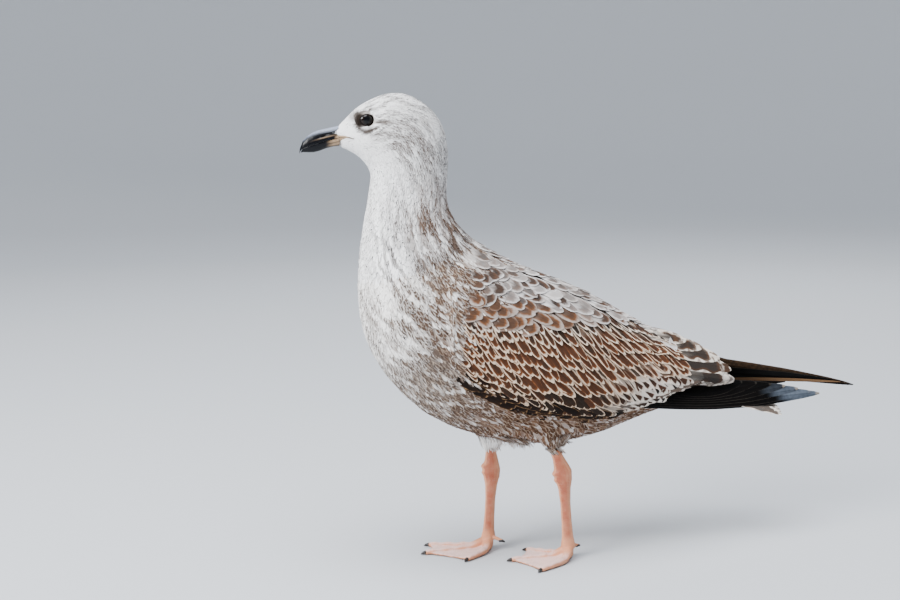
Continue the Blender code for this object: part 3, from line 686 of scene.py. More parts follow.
def coat_piece(name, roots, finish, long, wide, seed):
    """Small feathers with their roots at these places on the body, as one piece."""
    draw = np.random.default_rng(seed)
    count = len(roots)
    _, normal = envelope.nearest(roots)
    run = lie_of_coat(roots, normal)
    side = np.cross(normal, run)
    yaw = draw.normal(0, 0.10, count)[:, None]
    run, side = run * np.cos(yaw) + side * np.sin(yaw), side * np.cos(yaw) - run * np.sin(yaw)
    gap, depth = coat_spacing(roots), coat_depth(roots)
    length = gap * 4.6 * draw.uniform(0.85, 1.2, count) * long
    width = gap * 1.9 * draw.uniform(0.85, 1.15, count) * wide
    vane = SMALL_VANE
    a, t = vane.across[None], vane.along[None]
    ragged = 1 + 0.10 * draw.normal(0, 1, (count, len(vane.along))) * (vane.along[None] > 0.7)
    along = (t * ragged - 0.15) * length[:, None]
    across = a * outline(t, 0.5) * width[:, None] / 2
    grid = roots[:, None] + run[:, None] * along[..., None] + side[:, None] * across[..., None]
    place, up = envelope.nearest(grid.reshape(-1, 3))
    place, up = place.reshape(grid.shape), up.reshape(grid.shape)
    settle = draw.uniform(0, 0.15, count)[:, None] * depth[:, None]
    rise = -(depth[:, None] + 0.2 * MM) * (1 - t).clip(0, 1) ** 1.15 - settle
    rise = rise - 0.12 * width[:, None] * a ** 2 - 0.22 * MM * vane.below[None]
    verts = place + up * rise[..., None]
    kept = ~in_eye_openings(verts).any(1)
    count = int(kept.sum())
    strength, warm, dusk_and_painted_shade = marks_of(place[kept][:, vane.middle].mean(1))
    strength = np.clip(strength * draw.uniform(0.75, 1.2, count), 0, 1)
    marks = np.stack([strength, warm, dusk_and_painted_shade, draw.random(count)], 1)
    bake = bake_places(spread(along_body(roots[kept])), spread(around_body(roots[kept])), vane,
                       np.full(count, 0.003))
    piece = vane.mesh(name, verts[kept].reshape(-1, 3), bake, marks=marks)
    piece.data.materials.append(finish)
    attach(piece, "root")
    return piece


pale = contour_plumage("pale_head_plumage", "#faf9f8", "#5f5853", "#74553f", "#3f3833",
                       "#553b29")
mottled = contour_plumage("mottled_body_plumage", "#f8f5f1", "#776c64", "#664834", "#52443b",
                          "#452b18", rimmed=0.5, uneven=0.5)

roots = envelope.scatter(rng, coat_spacing, open_to_coat)
roots = roots[~in_eye_openings(roots) & (bare_shin(roots) < 0.5)]
at = along_body(roots)
# Name, where it starts and ends along the body, finish, slot, length and width of a feather.
ZONES = (("face_feathers", -1, 42, pale, "pale_plumage", 1.15, 0.9),
         ("crown_feathers", 42, 78, pale, "pale_plumage", 1.2, 0.85),
         ("neck_feathers", 78, 165, pale, "pale_plumage", 1.25, 0.85),
         ("breast_feathers", 165, 262, mottled, "mottled_plumage", 1.1, 1.0),
         ("belly_feathers", 262, 400, mottled, "mottled_plumage", 1.1, 1.0),
         ("rump_and_vent_feathers", 400, 900, mottled, "mottled_plumage", 1.1, 1.0))
for k, (name, low, high, finish, slot, long, wide) in enumerate(ZONES):
    piece = coat_piece(name, roots[(at >= low) & (at < high)], finish, long, wide, 20 + k)

# ---------------------------------------------------------------- the folded wing's own sheet

SHEET_X = np.arange(-195, 138, 3) * MM
SHEET_STEP = 2 * MM
SHEET_LOW, SHEET_HIGH = -26 * MM, 170 * MM
SHEET_UP = np.arange(SHEET_LOW, SHEET_HIGH, SHEET_STEP)


def smoothed(grid, rounds):
    """A grid of places, each moved toward its neighbours, with its borders kept straight."""
    for _ in range(rounds):
        wide = np.concatenate([2 * grid[:1] - grid[1:2], grid, 2 * grid[-1:] - grid[-2:-1]])
        grid = wide[:-2] * 0.25 + grid * 0.5 + wide[2:] * 0.25
        wide = np.concatenate([2 * grid[:, :1] - grid[:, 1:2], grid,
                               2 * grid[:, -1:] - grid[:, -2:-1]], 1)
        grid = wide[:, :-2] * 0.25 + grid * 0.5 + wide[:, 2:] * 0.25
    return grid


class Sheet:
    """The outer face of the back and the folded wing on the left, laid out flat: x along the
    bird, and up round it from the wing's lower edge. It runs on below that edge."""

    def __init__(self):
        wing = BVHTree.FromPolygons(*[a.tolist() for a in solid(["wing_left", "tertials_left"])])
        back = BVHTree.FromPolygons(*[a.tolist() for a in solid(["neck", "trunk", "tail_base"])])
        heights = np.array(BODY_LINE[3:], float) * MM
        lines, edges = [], []
        for x in SHEET_X:
            middle = Vector((x, 0, np.interp(x, heights[:, 0], heights[:, 1])))
            line, edge = [], None
            for turn in np.radians(np.arange(0, 150, 1.5)):
                way = Vector((0, -math.sin(turn), math.cos(turn)))
                far = []
                for tree in (wing, back):
                    hit = tree.ray_cast(middle + way * 0.25, -way, 0.25)[0]
                    far.append((hit - middle).length if hit is not None else 0.0)
                if far[0] > 0 and far[0] >= far[1]:
                    edge = len(line)
                if max(far) > 0:
                    spot = middle + way * max(far)
                    line.append((spot.y, spot.z))
            lines.append(np.array(line))
            edges.append(line[edge][1] if edge is not None else None)
        known = [k for k, e in enumerate(edges) if e is not None]
        self.edge_z = np.interp(np.arange(len(edges)), known, [edges[k] for k in known])
        slope = (self.edge_z[known[4]] - self.edge_z[known[0]]) / 4
        for k in range(known[0]):
            self.edge_z[k] = self.edge_z[known[0]] + slope * (k - known[0]) * 0.6
        for _ in range(4):
            wide = np.concatenate([self.edge_z[:1], self.edge_z, self.edge_z[-1:]])
            self.edge_z = (wide[:-2] + 2 * self.edge_z + wide[2:]) / 4
        grid = np.zeros((len(SHEET_X), len(SHEET_UP), 3))
        self.ridge = np.zeros(len(SHEET_X))
        for i, (x, line) in enumerate(zip(SHEET_X, lines)):
            past = np.nonzero(line[:, 1] < self.edge_z[i])[0]
            past = past[past > 3]
            last = past[0] if len(past) else len(line) - 1
            line = line[:last + 1]
            line = np.concatenate([line[1:25][::-1] * (-1, 1), line])[::-1]
            run = np.concatenate([[0], np.cumsum(np.linalg.norm(np.diff(line, axis=0), axis=1))])
            self.ridge[i] = run[len(line) - 25 if len(line) > 25 else -1]
            tail = unit(line[0] - line[3])
            yz = np.stack([np.interp(SHEET_UP, run, line[:, k]) for k in (0, 1)], 1)
            grid[i, :, 0] = x
            grid[i, :, 1:] = yz + np.maximum(-SHEET_UP, 0)[:, None] * tail
        grid[:, :, 1:] = smoothed(grid, 8)[:, :, 1:]
        self.grid = grid
        self.along = np.gradient(grid, axis=0) / (SHEET_X[1] - SHEET_X[0])
        self.rise = np.gradient(grid, axis=1) / SHEET_STEP
        self.out = unit(np.cross(self.along, self.rise))

    def read(self, layer, spots):
        """A layer of the sheet at (x, up) places, by straight mixing."""
        return between_cells(layer, (spots[..., 0] - SHEET_X[0]) / (SHEET_X[1] - SHEET_X[0]),
                             (spots[..., 1] - SHEET_LOW) / SHEET_STEP)

    def up_at(self, x, z):
        """How far up the sheet the height z is met at x."""
        i = int(np.clip(round((x - SHEET_X[0]) / (SHEET_X[1] - SHEET_X[0])), 0, len(SHEET_X) - 1))
        heights = self.grid[i, :, 2]
        top = heights.argmax()
        return SHEET_UP[np.argmin(np.abs(heights[:top + 1] - z))]

    def ridge_at(self, x):
        return np.interp(x, SHEET_X, self.ridge)


sheet = Sheet()

# ---------------------------------------------------------------- rows of the folded wing

def row_plumage(name, white, cream, dark, brown, amber, soft=0.08, notched=0.03, speckled=0.0):
    """Larger feathers of the back and wing. The vane is matt keratin, its dark middle is
    melanin that turns amber toward the fringe, and the fringe is bare of it and so wears pale."""
    made, add = material(name)
    across, along, mark, warm, fringe, own = vane_links(add)
    where = add("TexCoord", out="Object")
    anchor, spot, creamy = add("SeparateColor", add("Attribute", attribute_name="style"), out=None)
    side = add("size", across)
    warp = add("noise", where, 190.0, 3.0)
    wobble = add("times_plus", warp, 0.34,
                 add("times_plus", add("noise", where, 650.0), 0.2, -0.27))
    rim = add("smaller", add("minus", 1.0, side), add("times", add("minus", 1.0, along), 3.0))
    notch = add("sine", add("times_plus", along, 34.0, add("times", own, 40.0)))
    rim = add("plus", add("times_plus", notch, notched, rim), add("times", wobble, 0.7))
    middle = add("step", rim, add("minus", fringe, soft), add("plus", fringe, soft))
    # An anchor: a blurred bar near the tip and a streak along the shaft, each its own size.
    second = add("fraction", add("times", own, 7.3))
    bar = add("size", add("minus",
                          add("times_plus", wobble, 0.5, add("times_plus", side, 0.14, along)),
                          add("times_plus", own, 0.1, 0.76)))
    half = add("times_plus", second, 0.09, 0.05)
    bar = add("minus", 1.0, add("step", bar, half, add("plus", half, 0.05 + soft)))
    bar = add("times", bar, add("minus", 1.0, add("step", add("plus", side, wobble), 0.6, 0.95)))
    reach = add("times_plus", second, 0.25, 0.08)
    shaft = add("times", add("minus", 1.0, add("step", add("plus", side, wobble), reach,
                                               add("plus", reach, 0.22 + soft))),
                add("times", add("step", along, 0.3, 0.7),
                    add("minus", 1.0, add("step", along, 0.84, 0.95))))
    anchored = add("larger", bar, add("times", shaft, 0.85))
    # A spot: a triangle that widens toward the tip.
    wide = add("times_plus", along, 2.0, -0.86)
    spotted = add("times", add("minus", 1.0, add("step", add("plus", side, wobble),
                                                 add("minus", wide, 0.1), add("plus", wide, 0.1))),
                  add("minus", 1.0, add("step", along, 0.82, 0.88)))
    share = add("times_plus", anchor, add("minus", anchored, middle), middle)
    share = add("times_plus", spot, add("minus", spotted, share), share)
    if speckled:
        specks = add("times", add("step", add("noise", where, 170.0, 2.0), 0.5, 0.6),
                     add("step", along, 0.55, 0.8))
        share = add("larger", share, add("times", specks, speckled))
    share = add("times", share, mark, use_clamp=True)
    tint = add("noise", where, 160.0, 3.0)
    pale_part = add("mix", add("times_plus", tint, 0.6, add("minus", creamy, 0.3), use_clamp=True),
                    white, cream)
    dark_part = add("mix", add("times_plus", tint, 1.1, add("times_plus", warm, 1.0, -0.6),
                               use_clamp=True), dark, brown)
    glow = add("times", add("minus", 1.0, add("step", rim, fringe, add("plus", fringe, 0.4))), warm,
               use_clamp=True)
    dark_part = add("mix", glow, dark_part, amber)
    colour = add("mix", share, pale_part, dark_part)
    quill = add("times", add("minus", 1.0, add("step", side, 0.02, 0.07)), add("times", mark, 0.3))
    colour = add("mix", quill, colour, "#1c1410")
    # Barbs slant back from the shaft. They are drawn coarser than real ones, so that they show.
    barbs = add("sine", add("times_plus", along, 150.0, add("times", side, -22.0)))
    bump = add("Bump", {"Height": barbs, "Strength": 0.2, "Distance": 0.0003})
    shader = add("BsdfPrincipled", {"Base Color": colour, "Normal": bump, "Roughness": 0.85,
                                    "Specular IOR Level": 0.12})
    add("OutputMaterial", shader, out=None)
    return made


def side_curve(points):
    """Places on the sheet for (x, z) points in mm on the bird's side."""
    return np.array([[x * MM, sheet.up_at(x * MM, z * MM)] for x, z in points])


def on_curve(curve, share):
    """Places at these shares of a curve's points."""
    at = np.linspace(0, 1, len(curve))
    return np.stack([np.interp(share, at, curve[:, k]) for k in (0, 1)], 1)


def corners(values, along, down):
    """A value given at a tract's front top, rear top, front bottom and rear bottom."""
    a, b, c, d = values
    return (a * (1 - along) + b * along) * (1 - down) + (c * (1 - along) + d * along) * down


def tract(name, finish, top, bottom, rows, counts, slope, length, width, rise, look, seed,
          lift, stray, swing=4.0, round_tip=0.42, vary=0.06):
    """Rows of overlapping feathers between two curves that their tips follow, on both sides.
    Sizes are in mm at the four corners; look gives marks and style at each feather's tip."""
    vane = ROW_VANE
    for side in ("left", "right"):
        draw = np.random.default_rng(seed + (side == "right") * 100)
        share_along, share_down = [], []
        for row in range(rows):
            down = row / max(rows - 1, 1)
            number = round(counts[0] + (counts[1] - counts[0]) * down)
            share_along += [(k + 0.15 + 0.5 * (row % 2)) / number for k in range(number)]
            share_down += [down] * number
        p, q = np.array(share_along), np.array(share_down)
        count = len(p)
        tips = on_curve(top, p) * (1 - q[:, None]) + on_curve(bottom, p) * q[:, None]
        tips = tips + draw.normal(0, stray * MM, tips.shape)
        up = sheet.read(sheet.out, tips)
        beta = np.radians(corners(slope, p, q) + draw.normal(0, swing, count))
        way = flattened(np.stack([np.cos(beta), 0 * beta, -np.sin(beta)], 1), up)
        over = np.cross(way, up)
        ex, eu = sheet.read(sheet.along, tips), sheet.read(sheet.rise, tips)
        e, f, g = dot(ex, ex)[:, 0], dot(ex, eu)[:, 0], dot(eu, eu)[:, 0]

        def laid(vector):
            """A direction in space as steps along and up the sheet."""
            a, b = dot(vector, ex)[:, 0], dot(vector, eu)[:, 0]
            size = e * g - f * f
            return np.stack([(a * g - b * f) / size, (b * e - a * f) / size], 1)

        way, over = laid(way), laid(over)
        long = corners(length, p, q) * MM * draw.uniform(1 - vary, 1 + vary, count)
        wide = corners(width, p, q) * MM * draw.uniform(1 - vary, 1 + vary, count)
        a, t = vane.across[None], vane.along[None]
        shape = outline(t, round_tip)
        back = (t - 1) * long[:, None] + (draw.normal(0, 0.007, (count, len(vane.along)))
                                          * long[:, None] * (t > 0.8))
        sidewise = a * shape * wide[:, None] / 2 + 0.06 * wide[:, None] * (1 - t) ** 2 * a
        spots = tips[:, None] + way[:, None] * back[..., None] + over[:, None] * sidewise[..., None]
        place, out = sheet.read(sheet.grid, spots), sheet.read(sheet.out, spots)
        deep = corners(rise, p, q)[:, None] * MM
        height = (lift * MM - deep * (1 - t) ** 1.05 + 0.42 * MM * a
                  + draw.normal(0, 0.12, count)[:, None] * MM
                  + 0.035 * wide[:, None] * (1 - a ** 2) - 0.3 * MM * vane.below[None])
        verts = (place + out * height[..., None]).reshape(-1, 3)
        marks, style = look(p, q, draw)
        low, high = 0.02, 0.98
        cell = 0.8 * min((high - low) / max(counts), (high - low) / rows)
        bake = bake_places(low + p / p.max() * (high - low - cell) + cell / 2,
                           low + q * (high - low - cell) + cell / 2, vane, np.full(count, cell))
        mirrored = side == "right"
        piece = vane.mesh(f"{name}_{side}", verts * (1, -1, 1) if mirrored else verts, bake,
                          mirrored, marks=marks, style=style)
        piece.data.materials.append(finish)
        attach(piece, "root")


def columns(*values):
    """Numbers and rows of numbers side by side."""
    size = max(np.size(v) for v in values)
    return np.stack([np.broadcast_to(v, size) for v in values], 1).astype(float)


brown_rows = row_plumage("brown_wing_feathers", "#f0e8dd", "#cba987", "#160c07", "#432312",
                         "#6d3a18")
grey_rows = row_plumage("grey_white_scapular_feathers", "#eae8e6", "#a2948a", "#3a332f",
                        "#513829", "#74492b", soft=0.16)
# Dark feathers under the wing's lower edge: partly the dark coverts under the wing, partly painted
# shade of the gap between wing and flank.
dark_rows_and_painted_shade = row_plumage("dark_under_wing_feathers_and_painted_shade", "#b29a80", "#94714d", "#0f0a07", "#22140c",
                        "#3c2413")

SCAPULAR_TOP = np.array([[x * MM, sheet.ridge_at(x * MM) - 1 * MM]
                         for x in (-112, -80, -48, -16, 16, 48, 80)])
SCAPULAR_LOW = side_curve(((-141, 234), (-126, 226), (-104, 222), (-80, 219), (-49, 217),
                           (12, 212), (46, 200), (82, 186)))
COVERT_TOP = side_curve(((-147, 221), (-120, 216), (-96, 213), (-51, 208), (6, 207), (38, 200),
                         (74, 185)))
COVERT_LOW = np.array(((-146, 10), (-122, 6), (-96, 4), (-64, 1), (-28, -2), (15, -4), (52, -4),
                       (88, -4)), float) * MM
EDGE_TOP = np.array(((-138, 8), (-100, 3), (-60, 0), (10, -3)), float) * MM
EDGE_LOW = np.array(((-140, -3), (-95, -8), (-50, -8), (20, -7)), float) * MM


# Looks of the rows: p runs back along a row and q down from row to row, from 0 to 1. Each
# gives the marks (mark, warmth, fringe, own) and the style (anchor, spot, cream) of a feather.

def scapular_look(p, q, draw):
    n = len(p)
    brown = ramp(q, 0.7, 0.9) * (1 - ramp(p, 0.55, 0.75)) * (draw.random(n) < 0.8)
    rear = ramp(p, 0.55, 0.8) * ramp(q, 0.3, 0.6)
    front = 0.3 * (1 - ramp(p, 0.04, 0.3))
    mark = np.clip(0.66 + 0.35 * q + front + draw.normal(0, 0.25, n), 0.1, 1)
    mark = np.maximum(mark, brown)
    solid_middle = np.maximum(0.75 * brown, 0.55 * rear) + 0.25 * draw.random(n) ** 2
    solid_middle = np.clip(solid_middle, 0, 1)
    return (columns(mark, 0.25 + 0.65 * np.maximum(brown, 0.6 * rear),
                    0.32 + draw.normal(0, 0.14, n), draw.random(n)),
            columns(1 - solid_middle, 0, 0.25 + 0.5 * brown + 0.45 * draw.random(n), 0))


def covert_look(p, q, draw):
    n = len(p)
    spot = ramp(p, 0.6, 0.8) * ramp(q, 0.5, 0.8)
    first = 1 - ramp(q, 0.05, 0.2)
    creamy = np.clip(0.75 - 0.55 * spot - 0.3 * first, 0, 1)
    deep = ramp(q, 0.7, 0.9) * bump_at(p, 0.5, 0.22) + 0.35 * spot
    warm = 0.45 + 0.45 * bump_at(q, 0.45, 0.4) - 0.5 * deep - 0.3 * first
    return (columns(0.98, np.clip(warm + draw.normal(0, 0.26, n), 0, 1),
                    0.25 + 0.05 * spot + 0.05 * first - 0.12 * deep + draw.normal(0, 0.05, n),
                    draw.random(n)),
            columns(0.35 * first * (draw.random(n) < 0.5), spot, creamy, 0))


def edge_look(p, q, draw):
    n = len(p)
    return (columns(1.0, 0.35 + draw.normal(0, 0.1, n), 0.04, draw.random(n)),
            columns(0 * p, 0, 0.9, 0))


# The wing's lower edge: nearly black feathers, partly real dark coverts and partly painted shade
# under the wing.
tract("wing_edge_feathers_and_painted_shade", dark_rows_and_painted_shade, EDGE_TOP, EDGE_LOW, 3, (12, 12), (34, 20, 26, 12),
      (38, 38, 34, 34), (10, 10, 9, 8), (2.6, 2.6, 2.6, 2.6), edge_look, 45,
      lift=0.5, stray=1.2)
tract("scapulars", grey_rows, SCAPULAR_TOP, SCAPULAR_LOW, 8, (17, 20), (22, 34, 18, 32),
      (26, 28, 27, 30), (14.0, 14.0, 13.5, 13.5), (2.2, 1.6, 3.2, 2.0), scapular_look, 40,
      lift=0.8, stray=2.6, swing=13.0, vary=0.2)
tract("wing_coverts", brown_rows, COVERT_TOP, COVERT_LOW, 8, (38, 40), (76, 52, 46, 30),
      (25, 29, 28, 28), (8.0, 8.6, 8.2, 8.2), (2.6, 2.6, 2.6, 2.2), covert_look, 50,
      lift=0.3, stray=1.3, swing=6.0, round_tip=0.66, vary=0.12)

# ---------------------------------------------------------------- long feathers

class Relief:
    """The outer face of CAD nodes seen from one side, as a depth for each place on that side.
    A side wing is seen along Y, so its places are (x, z); the tail is seen from above."""

    def __init__(self, names, facing):
        step = 2.5 * MM
        points, triangles = solid(names)
        tree = BVHTree.FromPolygons(points.tolist(), triangles.tolist())
        self.facing = np.array(facing, float)
        self.plane = [0, 2] if abs(self.facing[1]) > 0.5 else [0, 1]
        self.deep = 1 if self.plane[1] == 2 else 2
        low, high = points.min(0)[self.plane], points.max(0)[self.plane]
        self.u = np.arange(low[0], high[0] + step, step)
        self.v = np.arange(low[1], high[1] + step / 2, step / 2)
        depth = np.full((len(self.u), len(self.v)), np.nan)
        for i, u in enumerate(self.u):
            for j, v in enumerate(self.v):
                start = np.zeros(3)
                start[self.plane] = u, v
                start = start + self.facing * 0.4
                hit = tree.ray_cast(Vector(start), Vector(-self.facing), 0.8)[0]
                if hit is not None:
                    depth[i, j] = hit[self.deep]
        for i in range(len(self.u)):
            known = np.nonzero(~np.isnan(depth[i]))[0]
            if len(known) > 1:
                depth[i] = np.interp(np.arange(len(self.v)), known, depth[i, known])
        known = [i for i in range(len(self.u)) if not np.isnan(depth[i]).any()]
        for j in range(len(self.v)):
            depth[:, j] = np.interp(np.arange(len(self.u)), known, depth[known, j])
        self.depth = smoothed(depth, 6)

    def place(self, spots, out):
        """Places on the face at (u, v), moved out from it."""
        deep = between_cells(self.depth, (spots[..., 0] - self.u[0]) / (self.u[1] - self.u[0]),
                             (spots[..., 1] - self.v[0]) / (self.v[1] - self.v[0]))
        found = np.zeros(spots.shape[:-1] + (3,))
        found[..., self.plane[0]], found[..., self.plane[1]] = spots[..., 0], spots[..., 1]
        found[..., self.deep] = deep + out * self.facing[self.deep]
        return found


LONG_VANE = Vane(np.array([-1.0, -0.75, -0.4, -0.1, 0.0, 0.1, 0.4, 0.75, 1.0]),
                 np.concatenate([np.linspace(0, 0.85, 14), [0.9, 0.94, 0.97, 0.99, 1.0]]))


def long_feathers(name, finish, relief, feathers, seed, tip_round, thick=0.45,
                  narrow=0.25):
    """Long feathers laid on a relief, each given in mm as root, tip, bend of its middle, width,
    how far out it lies at root and tip, share of its width on its lower side, and four marks
    with three of style."""
    draw = np.random.default_rng(seed)
    vane = LONG_VANE
    a, t = vane.across, vane.along
    verts, marks, style, bake = [], [], [], []
    count = len(feathers)
    for k, (root, tip, bend, width, out, lower, mark, look) in enumerate(feathers):
        root, tip = np.array(root) * MM, np.array(tip) * MM
        run = unit(tip - root)
        over = np.array([-run[1], run[0]])
        line = root + t[:, None] * (tip - root) + (4 * t * (1 - t) * bend * MM)[:, None] * over
        taper = outline(t, tip_round) * (1 - narrow * ramp(t, 0.6, 1.0))
        share = np.where(a < 0, 2 * lower, 2 * (1 - lower))
        reach = a * share * taper * width * MM / 2
        ragged = 1 + draw.normal(0, 0.012, len(t)) * (np.abs(a) > 0.7)
        spots = line + (reach * ragged)[:, None] * over
        height = (out[0] + (out[1] - out[0]) * t) * MM
        height = height + 0.03 * width * MM * (1 - a ** 2) + 0.25 * MM * (np.abs(a) < 0.05)
        height = height - thick * MM * vane.below
        verts.append(relief.place(spots, height))
        marks.append(mark)
        style.append((*look, 0))
        cell = 0.9 / count
        bake.append(np.stack([0.05 + (k + 0.5) * cell + a * cell * 0.42, 0.03 + 0.94 * t], 1))
    piece = vane.mesh(name, np.concatenate(verts), np.concatenate(bake), relief.facing[1] > 0.5,
                      marks=marks, style=style)
    piece.data.materials.append(finish)
    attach(piece, "root")


def flight_plumage(name, black, brown, tan, pale):
    """Flight feathers: dense melanin makes them near black and harder, with a faint gloss. The
    edge and the tip are a little worn and pale. Toward the tip of the near blade's feathers a
    blue-grey painted reflection of the sky is laid on."""
    made, add = material(name)
    across, along, tipped, warm, fringe, own = vane_links(add)
    where = add("TexCoord", out="Object")
    side = add("size", across)
    grain = add("noise", where, 300.0, 3.0)
    base = add("mix",
               add("times_plus", grain, 0.4, add("times_plus", warm, 1.0, -0.2), use_clamp=True),
               black, brown)
    base = add("mix", add("step", add("times_plus", grain, 0.2, warm), 0.6, 1.1), base, tan)
    # Painted reflection of the sky: blue-grey toward the tip.
    painted_sky_sheen = add("times", add("step", along, 0.76, 0.86), own)
    painted_sky_sheen = add("times", painted_sky_sheen, add("times_plus", grain, 0.8, 0.5))
    base = add("mix", painted_sky_sheen, base, "#5f6874")
    edge = add("step", add("plus", side, add("times", grain, 0.04)),
               add("minus", 0.99, add("times", fringe, 0.12)), 1.0)
    edge = add("times", edge, add("times", fringe, 2.0), use_clamp=True)
    end = add("times", add("step", add("times_plus", grain, 0.02, along), 0.982, 0.996), tipped)
    colour = add("mix", add("larger", edge, end, use_clamp=True), base, pale)
    # Barbs, drawn coarser than real ones, so that they show.
    barbs = add("sine", add("times_plus", along, 500.0, add("times", side, -30.0)))
    bump = add("Bump", {"Height": barbs, "Strength": 0.25, "Distance": 0.0002})
    shader = add("BsdfPrincipled", {"Base Color": colour, "Normal": bump, "Roughness": 0.6,
                                    "Specular IOR Level": 0.06})
    add("OutputMaterial", shader, out=None)
    return made


flight = flight_plumage("black_flight_feathers", "#030303", "#1d1510", "#775a40", "#8d8378")

# Primaries: the tips step back along the blade's upper edge. (tip x, tip z) in mm.
PRIMARY_TIPS = {"left": ((236.0, 128.2), (226.0, 130.4), (211.0, 134.8), (196.0, 138.4),
                         (180.0, 141.4), (163.0, 144.0), (146.0, 146.4)),
                "right": ((277.0, 133.5), (262.0, 138.0), (240.0, 140.5), (222.0, 142.5),
                          (204.0, 146.0), (184.0, 151.0), (160.0, 156.5))}
# The far blade's feathers start higher and are narrower toward the outermost.
FAR_ROOTS = ((40.0, 161.0), (36.0, 155.0), (32.0, 148.5), (40.0, 146.0), (52.0, 152.0),
             (60.0, 159.0), (68.0, 164.0))
FAR_WIDTHS = (9.0, 9.5, 11.0, 12.0, 13.0, 12.0, 11.0)


def primaries(side, relief):
    """The feathers of one wing tip's blade, the outermost first."""
    feathers = []
    far = side == "right"
    for k, (x, z) in enumerate(PRIMARY_TIPS[side]):
        root = FAR_ROOTS[k] if far else (28.0 + 7 * k, 137.0 + 1.2 * k)
        width = FAR_WIDTHS[k] if far else 15.0 - 0.5 * k
        # Near blade only: how much painted sky reflection lies toward each feather's tip.
        painted_sky_sheen = 0.0 if far else (0.85, 0.85, 0.6, 0.2, 0.0, 0.0, 0.0)[k]
        feathers.append((root, (x, z), 3.0 if far else -2.5, width,
                         (-3.0 + 0.55 * k, -2.2 + 0.5 * k), 0.36,
                         (0.9 if k in (0, 2, 3) and not far else 0.1,
                          0.06 + 0.05 * (k % 2), 0.12, painted_sky_sheen), (0, 0, 0)))
    if far:
        # The far blade shows a brown leading edge and, below it, the tan inner edge.
        feathers.append(((60.0, 176.0), (272.0, 135.5), 1.5, 7.5, (0.6, -2.4), 0.5,
                         (0.1, 0.62, 0.2, 0.0), (0, 0, 0)))
        feathers.append(((40.0, 141.0), (206.0, 139.5), 0.0, 9.0, (-1.0, -2.0), 0.5,
                         (0.0, 0.06, 0.1, 0.0), (0, 0, 0)))
        feathers.append(((118.0, 146.5), (262.0, 137.5), 1.0, 3.4, (-4.6, -3.6), 0.5,
                         (0.0, 1.0, 0.1, 0.0), (0, 0, 0)))
    long_feathers(f"primaries_feathers_{side}", flight, relief, feathers,
                  60 + (side == "right"), tip_round=0.16, narrow=0.5)


primaries("left", Relief(["primaries_left"], (0, -1, 0)))
primaries("right", Relief(["primaries_right"], (0, 1, 0)))

# Tertials: long inner feathers that lap like tiles over the wing's rear. In mm on the side:
# (root x, root z), (tip x, tip z), width, warmth, how solid the dark middle is, fringe.
TERTIALS = (((0.0, 158.0), (112.0, 146.5), 13.0, 0.3, 0.7, 0.3),
            ((14.0, 174.0), (136.0, 148.0), 19.0, 0.3, 0.8, 0.34),
            ((16.0, 186.0), (131.0, 160.5), 16.0, 0.5, 1.0, 0.16),
            ((18.0, 193.0), (121.0, 171.0), 15.0, 0.7, 0.9, 0.3),
            ((18.0, 197.0), (104.0, 181.5), 12.0, 0.8, 0.8, 0.24),
            ((16.0, 201.0), (86.0, 189.5), 11.0, 0.7, 0.5, 0.3))


def tertials(side, relief):
    """One side's tertials, the lowest first."""
    feathers = []
    for k, (root, tip, width, warm, full, fringe) in enumerate(TERTIALS):
        feathers.append((root, tip, 1.5, width, (-4.2 + 0.3 * k, -1.9 + 0.5 * k), 0.5,
                         (0.97, warm, fringe, 0.13 * k + 0.05), (1.0 - full, 0.0, 0.35)))
    long_feathers(f"tertial_feathers_{side}", tertial_finish, relief, feathers,
                  70, tip_round=0.22, thick=0.5)


tertial_finish = row_plumage("brown_tertial_feathers", "#ece7df", "#c9ad8c", "#070403",
                             "#21110a", "#55300f", soft=0.06, notched=0.16, speckled=0.8)
tertials("left", Relief(["wing_left", "tertials_left", "primaries_left"], (0, -1, 0)))
tertials("right", Relief(["wing_right", "tertials_right", "primaries_right"], (0, 1, 0)))

# Tail: a fan, seen from above, the middle pair on top.
TAIL_TOP = Relief(["tail_feathers", "tail_base"], (0, 0, 1))
tail = []
for k in range(5, -1, -1):
    for hand in (-1, 1):
        tip_y = hand * (2.0 + 4.1 * k)
        tip_x = 187.0 - 0.5 * k ** 1.5
        tail.append(((96.0, tip_y * 0.3), (tip_x, tip_y), 0.0, 11.5,
                     (-1.6 - 0.12 * k, -0.35 - 0.16 * k), 0.5,
                     (0.9, 0.35, 0.22, 0.1 * k), (0.0, 0.0, 0.25)))
long_feathers("tail_fan_feathers", tertial_finish, TAIL_TOP, tail, 80,
              tip_round=0.16, thick=0.5)
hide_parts("primaries_left")
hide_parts("primaries_right")
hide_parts("tertials_left")
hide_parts("tertials_right")
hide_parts("tail_feathers")


# ---------------------------------------------------------------- bare parts

def slab(top, bottom):
    """A closed sheet between two grids of points."""
    rows, cols = top.shape[:2]
    points = np.concatenate([top.reshape(-1, 3), bottom.reshape(-1, 3)])
    index = np.arange(rows * cols).reshape(rows, cols)
    under = index + rows * cols
    quads = [np.stack([index[:-1, :-1], index[1:, :-1], index[1:, 1:], index[:-1, 1:]],
                      -1).reshape(-1, 4),
             np.stack([under[:-1, :-1], under[:-1, 1:], under[1:, 1:], under[1:, :-1]],
                      -1).reshape(-1, 4)]
    loop = np.concatenate([index[0, :-1], index[:-1, -1], index[-1, :0:-1], index[:0:-1, 0]])
    after = np.roll(loop, -1)
    quads.append(np.stack([loop, after, after + rows * cols, loop + rows * cols], 1))
    quads = np.concatenate(quads)
    return points, np.concatenate([quads[:, [0, 1, 2]], quads[:, [0, 2, 3]]])


TOE_NAMES = ("inner", "middle", "outer")
